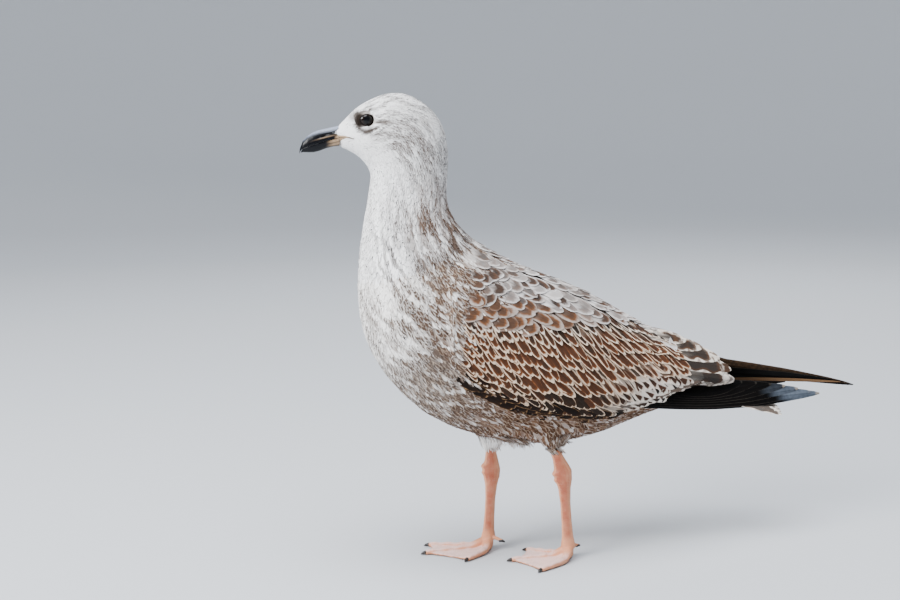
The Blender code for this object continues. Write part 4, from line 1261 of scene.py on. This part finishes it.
# How far each toe bows sideways from the straight line to its claw, in mm.
TOE_BOW = {"left": {"inner": 0.5, "middle": -0.5, "outer": 4.5},
           "right": {"inner": 3.0, "middle": -0.5, "outer": 0.5}}


def leg_middle(side, z):
    """The middle of the leg's solid at a height."""
    points, _ = solid([f"leg_{side}"])
    near = np.abs(points[:, 2] - z)
    band = points[near < max(near.min() * 1.5, 4 * MM)]
    return (band.max(0) + band.min(0)) / 2


def foot_shape(side):
    """Three toes with their joints, the web between them and the small hind toe."""
    joint = leg_middle(side, 12 * MM)
    joint[2] = 0
    shapes, lines = [], []
    for toe in TOE_NAMES:
        low, high = box_of(f"claw_{side}_{toe}")
        claw = (low + high) / 2
        claw[2] = 0
        run = unit(claw - joint)
        length = np.linalg.norm(claw - joint) - 1.5 * MM
        t = np.linspace(0, 1, 18)
        knuckle = 0.6 * sum(bump_at(t, at, 0.06) for at in (0.42, 0.68, 0.9))
        radius = (4.3 - 2.0 * t ** 0.8 + knuckle) * MM
        arch = 6.2 * MM * (1 - ramp(t, 0.0, 0.34))
        bow = TOE_BOW[side][toe] * np.sin(math.pi * t ** 0.7) * MM
        line = joint + run * (t * length)[:, None] + np.cross((0, 0, 1.0), run) * bow[:, None]
        line[:, 2] = radius * 0.86 + arch
        shapes.append(tube(line, radius, flat=0.86))
        lines.append(line)
    for one, other in zip(lines, lines[1:]):
        share = np.linspace(0, 1, 13)[None, :, None]
        grid = one[:, None] * (1 - share) + other[:, None] * share
        pull = 0.07 * 4 * share * (1 - share) * np.linspace(0, 1, 18)[:, None, None] ** 3
        middle = grid[:1].mean(1, keepdims=True)
        grid = grid * (1 - pull) + middle * pull
        sag = np.sin(share * math.pi) * np.linspace(0.2, 1, 18)[:, None, None]
        top, bottom = grid.copy(), grid.copy()
        height = np.maximum(grid[..., 2:] - 1.7 * MM * sag, 1.0 * MM)
        top[..., 2:], bottom[..., 2:] = height + 0.8 * MM, np.maximum(height - 0.8 * MM, 0.1 * MM)
        shapes.append(slab(top, bottom))
    low, high = box_of(f"hind_toe_{side}")
    claw_low, claw_high = box_of(f"claw_{side}_hind")
    tip = (claw_low + claw_high) / 2
    base = leg_middle(side, 16 * MM)
    base[2] = high[2] - 1.5 * MM
    shapes.append(tube([base, base * 0.55 + tip * 0.45 + (0, 0, 0.4 * MM), tip],
                       np.array((2.1, 1.7, 1.3)) * MM))
    # The heel pad under the joint and the joint itself.
    pad = joint + np.array((0.0, 0.0, 1.0)) * np.array([0.6, 4.0, 8.0, 12.0, 15.0])[:, None] * MM
    shapes.append(tube(pad, np.array((3.0, 4.6, 5.0, 4.6, 4.0)) * MM))
    return together(*shapes)


def leg_skin(side):
    """The bare leg and foot as one surface, with its scutes and joints raised on it."""
    shape = together(solid([f"leg_{side}"], 0.05 * MM), foot_shape(side))
    verts, quads = blended(*shape, 0.66 * MM, 3)
    normal = normals_of(verts, quads)
    z = verts[:, 2] / MM
    shank = ramp(z, 14, 22) * (1 - ramp(z, 66, 74))
    front = ramp(-normal[:, 0], 0.0, 1.0)
    scute = np.abs(np.sin(z * math.pi / 2.5)) ** 0.6
    lift = 0.14 * (scute - 0.8) * front * shank
    fold = 0.10 * np.sin(z * 2.6) * bump_at(z, 72.0, 6.0)
    lift = lift + fold
    low = 1 - ramp(z, 6, 12)
    lift = lift + 0.07 * low * np.sin(verts[:, 0] / MM * 3.1) * ramp(normal[:, 2], 0.3, 0.8)
    verts = verts + normal * (lift * MM)[:, None]
    ahead = ramp((leg_middle(side, 76 * MM)[0] - verts[:, 0]) / MM, 0.5, 5.5)
    verts[:, 0] -= ahead * (2.9 * bump_at(z, 78.8, 2.7) + 1.8 * bump_at(z, 73.0, 2.3)) * MM
    verts[:, 2] = np.maximum(verts[:, 2], 0.0)
    return verts, quads


# ---------------------------------------------------------------- skin

skin_shape = blended(*solid(BODY_NODES, 0.4 * MM), 2.4 * MM, 5)
skin_out = normals_of(*skin_shape)
depth = coat_depth(skin_shape[0]) + 0.4 * MM
flesh = skin_shape[0] - skin_out * depth[:, None]
for eye in (EYE_LEFT, EYE_RIGHT):
    off = flesh - eye
    near = np.linalg.norm(off, axis=1) < 11 * MM
    inside = 1 - ramp(np.sqrt((off @ FORWARD / 7.2) ** 2 + (off[:, 2] / 6.4) ** 2) / MM, 0.75, 1.1)
    flesh = flesh - skin_out * (near * inside * 5.0 * MM)[:, None]
strength, _, dusk_and_painted_shade = marks_of(flesh)
# Painted shade: skin hidden under the wing is marked to be dark brown, so gaps there read as
# shadow.
under_wing = (1.0 - open_to_coat(skin_shape[0])) * ramp(skin_shape[0][:, 2], 0.125, 0.14)
shin = bare_shin(skin_shape[0], 104.5, 107.0)
skin_marks = np.stack([strength * (1 - shin), under_wing * (1 - shin), dusk_and_painted_shade * (1 - shin), shin], 1)
parts_of_skin = [(flesh, skin_shape[1], skin_marks,
                  np.stack([spread(along_body(flesh), 0.02, 0.6), around_body(flesh)], 1))]
for k, side in enumerate(("left", "right")):
    verts, quads = leg_skin(side)
    bare = np.ones(len(verts))
    middle = leg_middle(side, 40 * MM)
    turn = np.arctan2(verts[:, 1] - middle[1], verts[:, 0] - middle[0]) / (2 * math.pi) + 0.5
    out = normals_of(verts, quads)
    facing = np.abs(0.94 * out[:, 1]) + 0.34 * -out[:, 0]
    red = ramp(facing, 0.72, 0.97) * ramp(verts[:, 2], 14 * MM, 26 * MM)
    dirt = (1 - ramp(verts[:, 2], 0.6 * MM, 2.4 * MM)) * 0.8
    web = (1 - ramp(verts[:, 2], 5 * MM, 10 * MM)) * ramp(out[:, 2], 0.4, 0.9)
    parts_of_skin.append((verts, quads, np.stack([red, web, dirt, bare], 1), np.stack(
        [0.64 + 0.17 * k + 0.15 * turn, 0.02 + 0.96 * verts[:, 2] / verts[:, 2].max()], 1)))
start = np.cumsum([0] + [len(p[0]) for p in parts_of_skin[:-1]])
skin = mesh_object("skin", np.concatenate([p[0] for p in parts_of_skin]),
                   [np.concatenate([p[1] + s for p, s in zip(parts_of_skin, start)])],
                   {"OFBake": np.concatenate([p[3] for p in parts_of_skin])},
                   {"marks": np.concatenate([p[2] for p in parts_of_skin])})

# Skin: under the coat it is the colour of the down over it, and under the wing it is painted
# dark brown as shade. On the legs and feet it is bare, scaly and flesh pink, redder along the
# sides of the shank and paler on the webs.
skin_finish, add = material("skin_with_bare_pink_legs")
first, second, third, bare_share = marks_links(add)
where = add("TexCoord", out="Object")
spots = add("times", first, add("noise", where, 260.0), use_clamp=True)
# The dusk mark darkens the skin's down colour too. Under the belly it is partly painted shade.
down_colour = add("mix", spots, add("mix", third, "#dedad5", "#7d6d60"), "#4d3d33")
# Painted shade: where the wing covers the skin it is dark brown.
down_colour = add("mix", second, down_colour, "#5a483b")
blotch = add("noise", where, 120.0, 3.0)
pink = add("mix", blotch, "#e3a67f", "#cf7d52")
pink = add("mix", add("times", first, add("times_plus", blotch, 0.9, 0.25), use_clamp=True), pink,
           "#93330d")
pink = add("mix", add("times", second, 0.8), pink, "#eed0cb")
vein = add("noise", where, 420.0, 4.0)
pink = add("mix", add("times", add("step", vein, 0.55, 0.7), 0.3), pink, "#b98478")
pink = add("mix", add("times", third, add("step", vein, 0.35, 0.6)), pink, "#3a2f29")
cells = add("TexVoronoi", {"Vector": where, "Scale": 900.0}, feature="DISTANCE_TO_EDGE")
scales = add("step", cells, 0.02, 0.12)
pink = add("mix", add("times", add("minus", 1.0, scales), 0.3), pink, "#a97466")
colour = add("mix", bare_share, down_colour, pink)
bump = add("Bump", {"Height": scales, "Strength": 0.5, "Distance": 0.0002})
shader = add("BsdfPrincipled", {
    "Base Color": colour, "Normal": bump, "Roughness": 0.5, "Subsurface Weight": 0.12,
    "Subsurface Scale": 0.002, "Subsurface Radius": (1.0, 0.4, 0.25)})
add("OutputMaterial", shader, out=None)
skin.data.materials.append(skin_finish)
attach(skin, "root")
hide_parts(*BODY_NODES, "leg_left", "leg_right", "foot_left", "foot_right",
            "hind_toe_left", "hind_toe_right")

# ---------------------------------------------------------------- claws

# Claws: black keratin, polished by use, so a soft gloss over a slightly streaked black.
claw_finish, add = material("black_claw_keratin")
where = add("TexCoord", out="Object")
colour = add("mix", add("noise", where, 700.0, 3.0), "#0f0d0c", "#2b2522")
shader = add("BsdfPrincipled", {"Base Color": colour, "Roughness": 0.32})
add("OutputMaterial", shader, out=None)


def claw(side, toe):
    """One curved claw that tapers to its tip."""
    low, high = box_of(f"claw_{side}_{toe}")
    foot = leg_middle(side, 12 * MM)
    middle = (low + high) / 2
    run = middle - foot
    run[2] = 0
    run = unit(run)
    half = (np.abs(run[0]) * (high[0] - low[0]) + np.abs(run[1]) * (high[1] - low[1])) / 2
    t = np.linspace(0, 1, 9)
    line = middle + run * ((t * 1.75 - 1.05) * half)[:, None]
    tall = high[2] - low[2]
    line[:, 2] = low[2] + tall * (0.5 + 0.1 * np.sin(t * math.pi) - 0.28 * t ** 2)
    radii = tall * 0.46 * np.sqrt(np.clip(1 - t ** 2.2, 0.02, 1))
    points, faces = tube(line, radii, 16, 0.85)
    points[:, 2] = np.maximum(points[:, 2], low[2])
    piece = mesh_object(f"claw_horn_{side}_{toe}", points, [faces], {
        "OFBake": np.stack([spread(points @ run), spread(points[:, 2] + 0.3 * points[:, 1])], 1)})
    piece.data.materials.append(claw_finish)
    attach(piece, "root")
    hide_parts(f"claw_{side}_{toe}")


for side in ("left", "right"):
    for toe in TOE_NAMES + ("hind",):
        claw(side, toe)

# ---------------------------------------------------------------- bill

def ahead_of_eyes(points):
    """How far ahead of the eyes places lie, in mm."""
    return (points - BETWEEN_EYES) @ FORWARD / MM


def aside(points):
    """How far to the left of the head's middle places lie, in mm."""
    return (points - BETWEEN_EYES) @ SIDEWAYS / MM


# Bill: keratin over bone, blackish toward the tip, and pale horn at the base and along the
# mouth. It is a little glossy. Painted light on it: a blue-grey reflection of the sky on its
# upper ridge, a thin pale highlight below the nostril, and black shade in the nostril's slit and
# along the mouth's line.
bill_finish, add = material("dark_horn_bill")
pale_horn_and_painted_highlight, ridge, slit_painted_shade, _ = marks_links(add)
where = add("TexCoord", out="Object")
grain = add("noise", where, 500.0, 4.0)
patchy = add("times_plus", grain, 0.7, 0.6)
# Painted reflection: the blue-grey of the sky on the upper ridge.
colour = add("mix", add("times", ridge, patchy, use_clamp=True), "#020307", "#8a92a3")
base_tone = add("mix", grain, "#bfa383", "#6f5842")
# Pale horn at the base and along the mouth, and the painted highlight below the nostril.
colour = add("mix", add("times", pale_horn_and_painted_highlight, patchy, use_clamp=True), colour, base_tone)
# Painted shade: black in the nostril's slit and along the mouth's line.
colour = add("mix", slit_painted_shade, colour, "#080605")
bump = add("Bump", {"Height": grain, "Strength": 0.15, "Distance": 0.0002})
shader = add("BsdfPrincipled",
             {"Base Color": colour, "Normal": bump, "Roughness": 0.3, "Specular IOR Level": 0.22})
add("OutputMaterial", shader, out=None)


def bill_half(name, node_name, upper):
    """One half of the bill's horn, with the nostril's slit and groove on the upper one. mouth
    is the height of the line between the halves."""
    verts, quads = blended(*solid([node_name], 0.05 * MM), 0.42 * MM, 4)
    normal = normals_of(verts, quads)
    ahead, side, z = ahead_of_eyes(verts), aside(verts), verts[:, 2] / MM
    mouth = np.interp(ahead, (20.8, 32, 43, 52, 56), (378.6, 376.1, 373.0, 369.8, 365.6))
    lift = np.zeros(len(verts))
    slit_painted_shade = np.zeros(len(verts))
    if upper:
        slit = np.exp(-((ahead - 34.5) / 3.4) ** 2 - ((z - mouth - 5.0 + 0.10 * (ahead - 34.5))
                                                     / 0.75) ** 2) * ramp(np.abs(side), 1.5, 3)
        groove = np.exp(-((z - mouth - 4.6) / 1.5) ** 2) * bump_at(ahead, 32, 9)
        verts = verts - FORWARD * (np.maximum(ahead - 54.5, 0) * 0.6 * MM)[:, None]
        lift = -1.3 * slit - 0.35 * groove * ramp(np.abs(side), 1.5, 3)
        # Painted shade inside the nostril's slit.
        slit_painted_shade = np.clip(slit * 1.6 - 0.25, 0, 1)
        # Painted reflection of the sky on the upward-facing ridge of the upper bill.
        ridge_painted_reflection = ramp(normal[:, 2], 0.35, 0.9) * (1 - ramp(ahead, 49, 54))
        # The second term is a painted highlight: a thin pale streak below the nostril.
        pale = (1 - ramp(z - mouth, 1.2, 3.4)) * (1 - ramp(ahead, 22.5, 26)) \
            + 0.5 * np.exp(-((z - mouth - 3.4) / 0.55) ** 2) * bump_at(ahead, 32, 8)
    else:
        ridge_painted_reflection = 0 * z
        down = mouth - z
        pale = (1 - ramp(ahead, 25.0, 33.0)) * (1 - 0.7 * np.exp(-((down - 2.9) / 0.5) ** 2)) \
            * (1 - 0.8 * ramp(down, 4.6, 5.8))
    verts = verts + normal * (lift * MM)[:, None]
    marks = np.stack([np.clip(pale, 0, 1), ridge_painted_reflection, slit_painted_shade, 0 * z], 1)
    turn = np.arctan2(side, z - 376.0) / (2 * math.pi) + 0.5
    piece = mesh_object(name, verts, [quads], {"OFBake": np.stack([spread(ahead), turn], 1)},
                        {"marks": marks})
    piece.data.materials.append(bill_finish)
    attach(piece, "root")
    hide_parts(node_name)


bill_half("upper_bill_horn", "bill_upper", True)
bill_half("lower_bill_horn", "bill_lower", False)

# The gape: a strip of pale horn that runs back from the mouth line into the face.
GAPE_VANE = Vane(np.linspace(-1, 1, 9), np.linspace(0, 1, 14))
verts, marks = [], []
for hand in (-1, 1):
    a, t = GAPE_VANE.across, GAPE_VANE.along
    forward = (23.5 - 18.0 * t) * MM
    height = (378.6 + 0.9 * ramp(t, 0, 0.5) - 0.6 * ramp(t, 0.6, 1)) * MM
    above_line = 1.9 * np.clip(1 - t / 0.66, 0, 1) ** 0.8
    below_line = 2.9 * np.clip(1 - t / 0.5, 0, 1) ** 0.8
    tall = (np.where(a > 0, above_line, below_line) + 0.35) * MM
    spots = BETWEEN_EYES + FORWARD * forward[:, None] + SIDEWAYS * (hand * 12 * MM)
    spots[:, 2] = height + a * tall
    spots = spots - SIDEWAYS * (hand * np.interp(t, (0, 1), (4.5, 1.5)) * MM)[:, None]
    place, out = envelope.nearest(spots)
    dome = 0.15 + 0.45 * (1 - a ** 2) - 0.5 * np.exp(-(a / 0.16) ** 2) - 0.9 * GAPE_VANE.below
    verts.append(place + out * (dome * MM)[:, None])
    # Painted shade: a black line where the mouth closes. The gape's rear part, where it runs in
    # under the face's feathers, is darkened too.
    mouth_line_painted_shade = np.maximum(0.85 * np.exp(-((a + 0.05) / 0.15) ** 2), 0.6 * ramp(t, 0.6, 0.7))
    marks.append(np.stack([1.0 - 0.35 * ramp(t, 0.6, 0.7), 0 * t, mouth_line_painted_shade, 0 * t], 1))
faces = GAPE_VANE.faces(2)
flip = len(faces) // 2
faces[flip:] = faces[flip:, ::-1]
gape = mesh_object("gape_horn", np.concatenate(verts), [faces[:, ::-1]], {
    "OFBake": np.concatenate([np.stack([0.05 + 0.5 * k + 0.4 * (GAPE_VANE.across + 1) / 2,
                                        0.05 + 0.9 * GAPE_VANE.along], 1) for k in (0, 1)])},
    {"marks": np.concatenate(marks)}, np.tile(GAPE_VANE.rim, 2))
gape.data.materials.append(bill_finish)
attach(gape, "root")

# ---------------------------------------------------------------- eyes and lids

# Eye: a wet cornea over a very dark brown iris, so the light shows as one clear spot.
eye_finish, add = material("wet_dark_eye")
off_axis = marks_links(add)[0]
where = add("TexCoord", out="Object")
iris = add("mix", add("noise", where, 900.0), "#170b05", "#0a0503")
colour = add("mix", add("step", off_axis, 0.44, 0.5), "#010102", iris)
shader = add("BsdfPrincipled",
             {"Base Color": colour, "Roughness": 0.1, "IOR": 1.38, "Specular IOR Level": 0.42})
add("OutputMaterial", shader, out=None)
# Lids: thin bare skin in fine folds, blackish at the rim, dark brown ahead of the eye and pale
# grey elsewhere.
lid_finish, add = material("dark_rimmed_lid_skin")
rim, front, _, _ = marks_links(add)
where = add("TexCoord", out="Object")
folds = add("noise", where, 900.0, 3.0)
outside = add("mix", front, add("mix", folds, "#aaa39c", "#6d655f"),
              add("mix", folds, "#2a211b", "#0f0c0a"))
colour = add("mix", rim, outside, add("mix", folds, "#070505", "#14100e"))
shader = add("BsdfPrincipled", {"Base Color": colour, "Roughness": 0.8, "Specular IOR Level": 0.08})
add("OutputMaterial", shader, out=None)

EYE_SIDES, BALL_RINGS = 48, 28
AROUND = np.linspace(0, 2 * math.pi, EYE_SIDES, endpoint=False)
# The lids' rings from the rim's inside out: half length, half height and how far above the
# ball, in mm. The skirt's last ring, on the face, follows them.
LID_RINGS = ((5.65, 4.6, -0.5), (5.7, 4.65, 0.05), (5.85, 4.8, 0.2), (6.05, 5.0, 0.16),
             (6.35, 5.3, 0.12), (6.8, 5.8, 0.12), (7.4, 6.4, 0.05))
# How much of the rim's black each ring has, and of the darker skin ahead of the eye.
LID_RIM = (1, 1, 1, 0.7, 0, 0, 0, 0)
LID_FRONT = (1, 1, 1, 1, 1, 1, 1, 0.9)
SKIRT_LONG, SKIRT_TALL, SKIRT_OUT, SKIRT_DEEP = 10.2, 8.4, 4.0, 0.7 * MM
LID_MAP = 12.5 * MM


def eye_axes(eye):
    """The ball's middle, and the ways out of the lids' opening, ahead of it and up from it."""
    outward = SIDEWAYS * np.sign((eye - BETWEEN_EYES) @ SIDEWAYS)
    out = unit(outward * EYE_RADIUS - FORWARD * LID_BACK - np.array((0, 0, LID_DOWN)))
    ahead = flattened(FORWARD, out)
    up = flattened(np.array([0.0, 0.0, 1.0]) - ahead[2] * ahead, out)
    return eye - outward * 0.2 * MM, out, ahead, up


def ring_quads(rings):
    """Four-sided faces between rings of points."""
    return np.array([[i * EYE_SIDES + k, i * EYE_SIDES + (k + 1) % EYE_SIDES,
                      (i + 1) * EYE_SIDES + (k + 1) % EYE_SIDES, (i + 1) * EYE_SIDES + k]
                     for i in range(rings - 1) for k in range(EYE_SIDES)])


def eyeball(side, deep, out, ahead, up):
    """The ball: a bulging cornea in front, drawn in where the lids cover it."""
    polar = np.linspace(0, math.pi * 0.62, BALL_RINGS)
    grid = (np.cos(polar)[:, None, None] * out
            + np.sin(polar)[:, None, None] * (np.cos(AROUND)[None, :, None] * ahead
                                              + np.sin(AROUND)[None, :, None] * up))
    bulge = 1 + 0.05 * np.exp(-(polar / 0.45) ** 2) - 0.3 * ramp(polar, 0.98, 1.5)
    ball = deep + grid * (EYE_RADIUS * 0.985 * bulge)[:, None, None]
    points = np.concatenate([ball.reshape(-1, 3), [deep - out * EYE_RADIUS * 0.35]])
    quads = ring_quads(BALL_RINGS)
    last = (BALL_RINGS - 1) * EYE_SIDES
    caps = np.array([[last + k, last + (k + 1) % EYE_SIDES, len(points) - 1]
                     for k in range(EYE_SIDES)])
    if np.dot(np.cross(ahead, up), out) < 0:
        quads, caps = quads[:, ::-1], caps[:, ::-1]
    off = np.concatenate([np.repeat(np.sin(polar), EYE_SIDES), [0.9]])
    flatmap = np.concatenate([(grid @ np.stack([ahead, up], 1)).reshape(-1, 2) * 0.45 + 0.5,
                              [[0.02, 0.02]]])
    piece = mesh_object(f"eyeball_{side}", points, [quads, caps], {"OFBake": flatmap},
                        {"marks": np.stack([off, off, off, off], 1)})
    piece.data.materials.append(eye_finish)
    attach(piece, "root")
    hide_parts(f"eye_{side}")


def eyelids(side, deep, out, ahead, up):
    """Lids: a soft rim on the ball, then a skirt that runs out under the feathers."""
    corner = np.maximum(-np.cos(AROUND), 0)[:, None] ** 8
    lid = []
    for long, tall, above in LID_RINGS:
        flat = (np.cos(AROUND)[:, None] * ahead * long + np.sin(AROUND)[:, None] * up * tall
                - corner * (ahead * 0.9 + up * 0.4)) * MM
        size = np.minimum(np.linalg.norm(flat, axis=1), EYE_RADIUS * 0.97)
        depth_out = np.sqrt(np.maximum(EYE_RADIUS ** 2 - size ** 2, 0))
        lid.append(deep + flat + out * (depth_out + above * MM)[:, None])
    # The skirt's edge lies on the face, just under the feathers' roots.
    reach = (np.cos(AROUND)[:, None] * ahead * SKIRT_LONG
             + np.sin(AROUND)[:, None] * up * SKIRT_TALL + out * SKIRT_OUT)
    place, off_face = envelope.nearest(deep + reach * MM)
    lid = np.concatenate(lid + [place - off_face * SKIRT_DEEP])
    quads = ring_quads(len(LID_RIM))[:, [0, 3, 2, 1]]
    if np.dot(np.cross(ahead, up), out) > 0:
        quads = quads[:, ::-1]
    piece = mesh_object(f"eyelids_{side}", lid, [quads], {
        "OFBake": np.stack([0.5 + 0.45 * (lid - deep) @ ahead / LID_MAP,
                            0.5 + 0.45 * (lid - deep) @ up / LID_MAP], 1)},
        {"marks": np.stack([np.repeat(LID_RIM, EYE_SIDES),
                            np.outer(LID_FRONT, ramp(np.cos(AROUND), 0.1, 0.8)).ravel(),
                            np.zeros(len(lid)), np.zeros(len(lid))], 1)})
    thick = piece.modifiers.new("thickness", "SOLIDIFY")
    thick.thickness, thick.offset = 0.25 * MM, -1.0
    piece.data.materials.append(lid_finish)
    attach(piece, "root")


for side, eye in (("left", EYE_LEFT), ("right", EYE_RIGHT)):
    eyeball(side, *eye_axes(eye))
    eyelids(side, *eye_axes(eye))

# ---------------------------------------------------------------- down at the legs

# Down: loose white feathers with few hooks, so they hang free at the top of the far leg.
down_finish = contour_plumage("white_leg_down", "#f3f0ec", "#8f8078", "#8f7460", "#6d5d53",
                              "#5f422f")


def loose_feathers(name, finish, roots, mids, tips, out, width, dusk_and_painted_shade, strength, seed,
                   warm=0.6):
    """Feathers along curved paths through the air, from roots past mids to tips, each with its
    face turned out."""
    draw = np.random.default_rng(seed)
    vane = SMALL_VANE
    a, t = vane.across[None, :, None], vane.along[None, :, None]
    roots, mids, tips, out = roots[:, None], mids[:, None], tips[:, None], out[:, None]
    path = roots * (1 - t) ** 2 + mids * 2 * t * (1 - t) + tips * t ** 2
    run = unit(tips - roots)
    over = unit(np.cross(out, run))
    face = np.cross(run, over)
    count = len(path)
    wide = width * draw.uniform(0.6, 1.35, count)[:, None, None]
    verts = path + over * a * outline(t, 0.5) * wide / 2
    verts = verts - face * np.sign(dot(face, out)) * (0.2 * MM) * vane.below[None, :, None]
    marks = columns(np.clip(strength + draw.normal(0, 0.2, count), 0, 1), warm,
                    np.clip(dusk_and_painted_shade + draw.normal(0, 0.15, count), 0, 1), draw.random(count))
    bake = bake_places(spread(roots[:, 0, 0]), spread(roots[:, 0, 1]), vane,
                       np.full(count, 0.01))
    piece = vane.mesh(name, verts.reshape(-1, 3), bake, marks=marks)
    piece.data.materials.append(finish)
    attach(piece, "root")


# How far each ring of leg feathers starts above the thigh's end and how far past it they hang,
# then how much that differs from feather to feather, in mm.
LEG_RINGS = {"left": (((15.0, -7.0), (13.0, -6.4), (11.5, -5.6), (10.0, -4.6)), 1.2),
             "right": (((9.0, 1.5), (6.5, 3.0), (4.0, 4.2), (2.2, 1.2)), 3.2)}
IN_RING = 34


def leg_top(side, finish, flare, width, dusk_and_painted_shade, strength):
    """Rings of feathers that hang round the leg's top. flare is how far their tips spread."""
    low, _ = box_of(f"thigh_{side}")
    rings, uneven = LEG_RINGS[side]
    roots, tips = [], []
    draw = np.random.default_rng(90 + len(side))
    for ring, (above, below) in enumerate(rings):
        for k in range(IN_RING):
            angle = 2 * math.pi * (k + 0.5 * (ring % 2) + draw.uniform(-0.4, 0.4)) / IN_RING
            way = np.array((math.cos(angle), math.sin(angle), 0.0))
            start = leg_middle(side, low[2] + 8 * MM)
            start[2] = low[2] + above * MM
            end = leg_middle(side, low[2] - 2 * MM)
            end[2] = low[2] - (below + draw.uniform(-uneven, uneven)) * MM
            roots.append(start + way * 12 * MM)
            tips.append(end + way * (4.6 + draw.uniform(0, flare)) * MM)
    place, out = envelope.nearest(np.array(roots))
    roots, tips = place - out * 0.8 * MM, np.array(tips)
    mids = (roots + tips) / 2 + out * 1.6 * MM
    loose_feathers(f"leg_top_feathers_{side}", finish, roots, mids, tips, out,
                   width * MM, dusk_and_painted_shade, strength, 95)


leg_top("left", mottled, 1.6, 2.1, 0.95, 0.75)
leg_top("right", down_finish, 2.6, 1.5, 0.08, 0.0)

# Down hangs from the belly between the legs.
draw = np.random.default_rng(99)
HAIRS = 190
spots = np.stack([draw.uniform(-0.122, -0.07, HAIRS), draw.uniform(-0.024, 0.014, HAIRS),
                  np.full(HAIRS, 0.08)], 1)
roots, out = envelope.nearest(spots)
roots = roots - out * 0.6 * MM
way = unit(np.array((0.5, -0.1, -0.8)) + draw.normal(0, 0.2, (HAIRS, 3)))
reach_out = draw.uniform(4.0, 10.0, HAIRS)[:, None] * MM
loose_feathers("belly_down", down_finish, roots,
               roots + way * reach_out * 0.5 + (0.001, 0, 0.0004), roots + way * reach_out, out,
               1.2 * MM, 0.5, 0.0, 100)

# Flank feathers hang past the belly's edge and over the top of the near leg.
draw = np.random.default_rng(104)
FLANK = 520
share = draw.random(FLANK)
spots = np.stack([-0.118 + 0.085 * share, draw.uniform(-0.046, -0.012, FLANK),
                  np.full(FLANK, 0.07)], 1)
roots, out = envelope.nearest(spots)
near_leg = bump_at(spots[:, 0], -0.058, 0.03)[:, None]
way = unit(np.array((1.0, -0.12, -0.32)) - near_leg * (0.25, 0.0, 0.42)
           + draw.normal(0, 0.10, (FLANK, 3)))
reach_out = draw.uniform(8.0, 15.0, FLANK)[:, None] * (1 - 0.5 * near_leg) * MM
roots = roots - out * 0.8 * MM - way * 3 * MM
loose_feathers("flank_feathers", mottled, roots,
               roots + way * reach_out * 0.5 + out * 1.0 * MM, roots + way * reach_out, out,
               2.6 * MM, 0.75, 0.5, 105, warm=0.95)

# ---------------------------------------------------------------- studio

# The floor is flat under and round the bird, then sweeps up all round as a pale backdrop.
SWEEP = ((1.5, 0.0), (2.6, 0.0), (3.2, 0.03), (3.8, 0.16), (4.3, 0.42), (4.7, 0.85), (4.95, 1.4),
         (5.1, 2.2), (5.2, 3.4))
TURNS = 96
ring = [(math.cos(2 * math.pi * k / TURNS), math.sin(2 * math.pi * k / TURNS))
        for k in range(TURNS)]
floor_verts = [(0.0, 0.0, 0.0)] + [(r * x, r * y, z) for r, z in SWEEP for x, y in ring]
floor_faces = [(0, 1 + k, 1 + (k + 1) % TURNS) for k in range(TURNS)]
for step in range(len(SWEEP) - 1):
    a = 1 + step * TURNS
    floor_faces += [(a + k, a + TURNS + k, a + TURNS + (k + 1) % TURNS, a + (k + 1) % TURNS)
                    for k in range(TURNS)]
floor_mesh = bpy.data.meshes.new("floor")
floor_mesh.from_pydata(floor_verts, [], floor_faces)
floor_mesh.shade_smooth()
floor = bpy.data.objects.new("floor", floor_mesh)
bpy.context.scene.collection.objects.link(floor)
floor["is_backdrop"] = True
# Floor and backdrop: one roll of matt pale grey paper.
floor_finish, add = material("pale_studio_paper")
shader = add("BsdfPrincipled",
             {"Base Color": "#c3c6ca", "Roughness": 0.95, "Specular IOR Level": 0.1})
add("OutputMaterial", shader, out=None)
floor.data.materials.append(floor_finish)

# The camera stands 1.4 m away, ahead and to the left of the bird, as high as its head, and
# looks a little down.
camera_data = bpy.data.cameras.new("camera")
camera = bpy.data.objects.new("camera", camera_data)
bpy.context.scene.collection.objects.link(camera)
camera_data.lens, camera_data.sensor_width = 63.64, 36.0
camera_data.clip_start, camera_data.clip_end = 0.01, 50.0
camera.location = (-0.6212, -1.2981, 0.419)
turn, dip = math.radians(20.2), math.radians(7.52)
look = Vector((math.sin(turn) * math.cos(dip), math.cos(turn) * math.cos(dip), -math.sin(dip)))
camera.rotation_euler = look.to_track_quat("-Z", "Y").to_euler()
bpy.context.scene.camera = camera

# A cool even sky, a soft light over the bird, one in front and a faint one behind.
world = bpy.data.worlds.new("studio")
bpy.context.scene.world = world
world.use_nodes = True
world.node_tree.nodes["Background"].inputs[0].default_value = (0.84, 0.9, 1.0, 1.0)
world.node_tree.nodes["Background"].inputs[1].default_value = 0.62


def soft_light(name, place, size, power, colour=(1, 1, 1)):
    """A round soft light that faces the bird."""
    data = bpy.data.lights.new(name, "AREA")
    data.shape, data.size, data.energy, data.color = "DISK", size, power, colour
    lamp = bpy.data.objects.new(name, data)
    lamp.location = place
    lamp.rotation_euler = (Vector((0, 0, 0.2)) - Vector(place)).to_track_quat("-Z", "Y").to_euler()
    bpy.context.scene.collection.objects.link(lamp)


soft_light("sky_light", (-0.5, -0.5, 2.5), 2.0, 112, colour=(0.93, 0.96, 1.0))
soft_light("front_light", (-2.3, -0.9, 1.5), 1.4, 122)
soft_light("back_light", (1.3, 1.9, 1.7), 1.4, 26)

low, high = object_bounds()
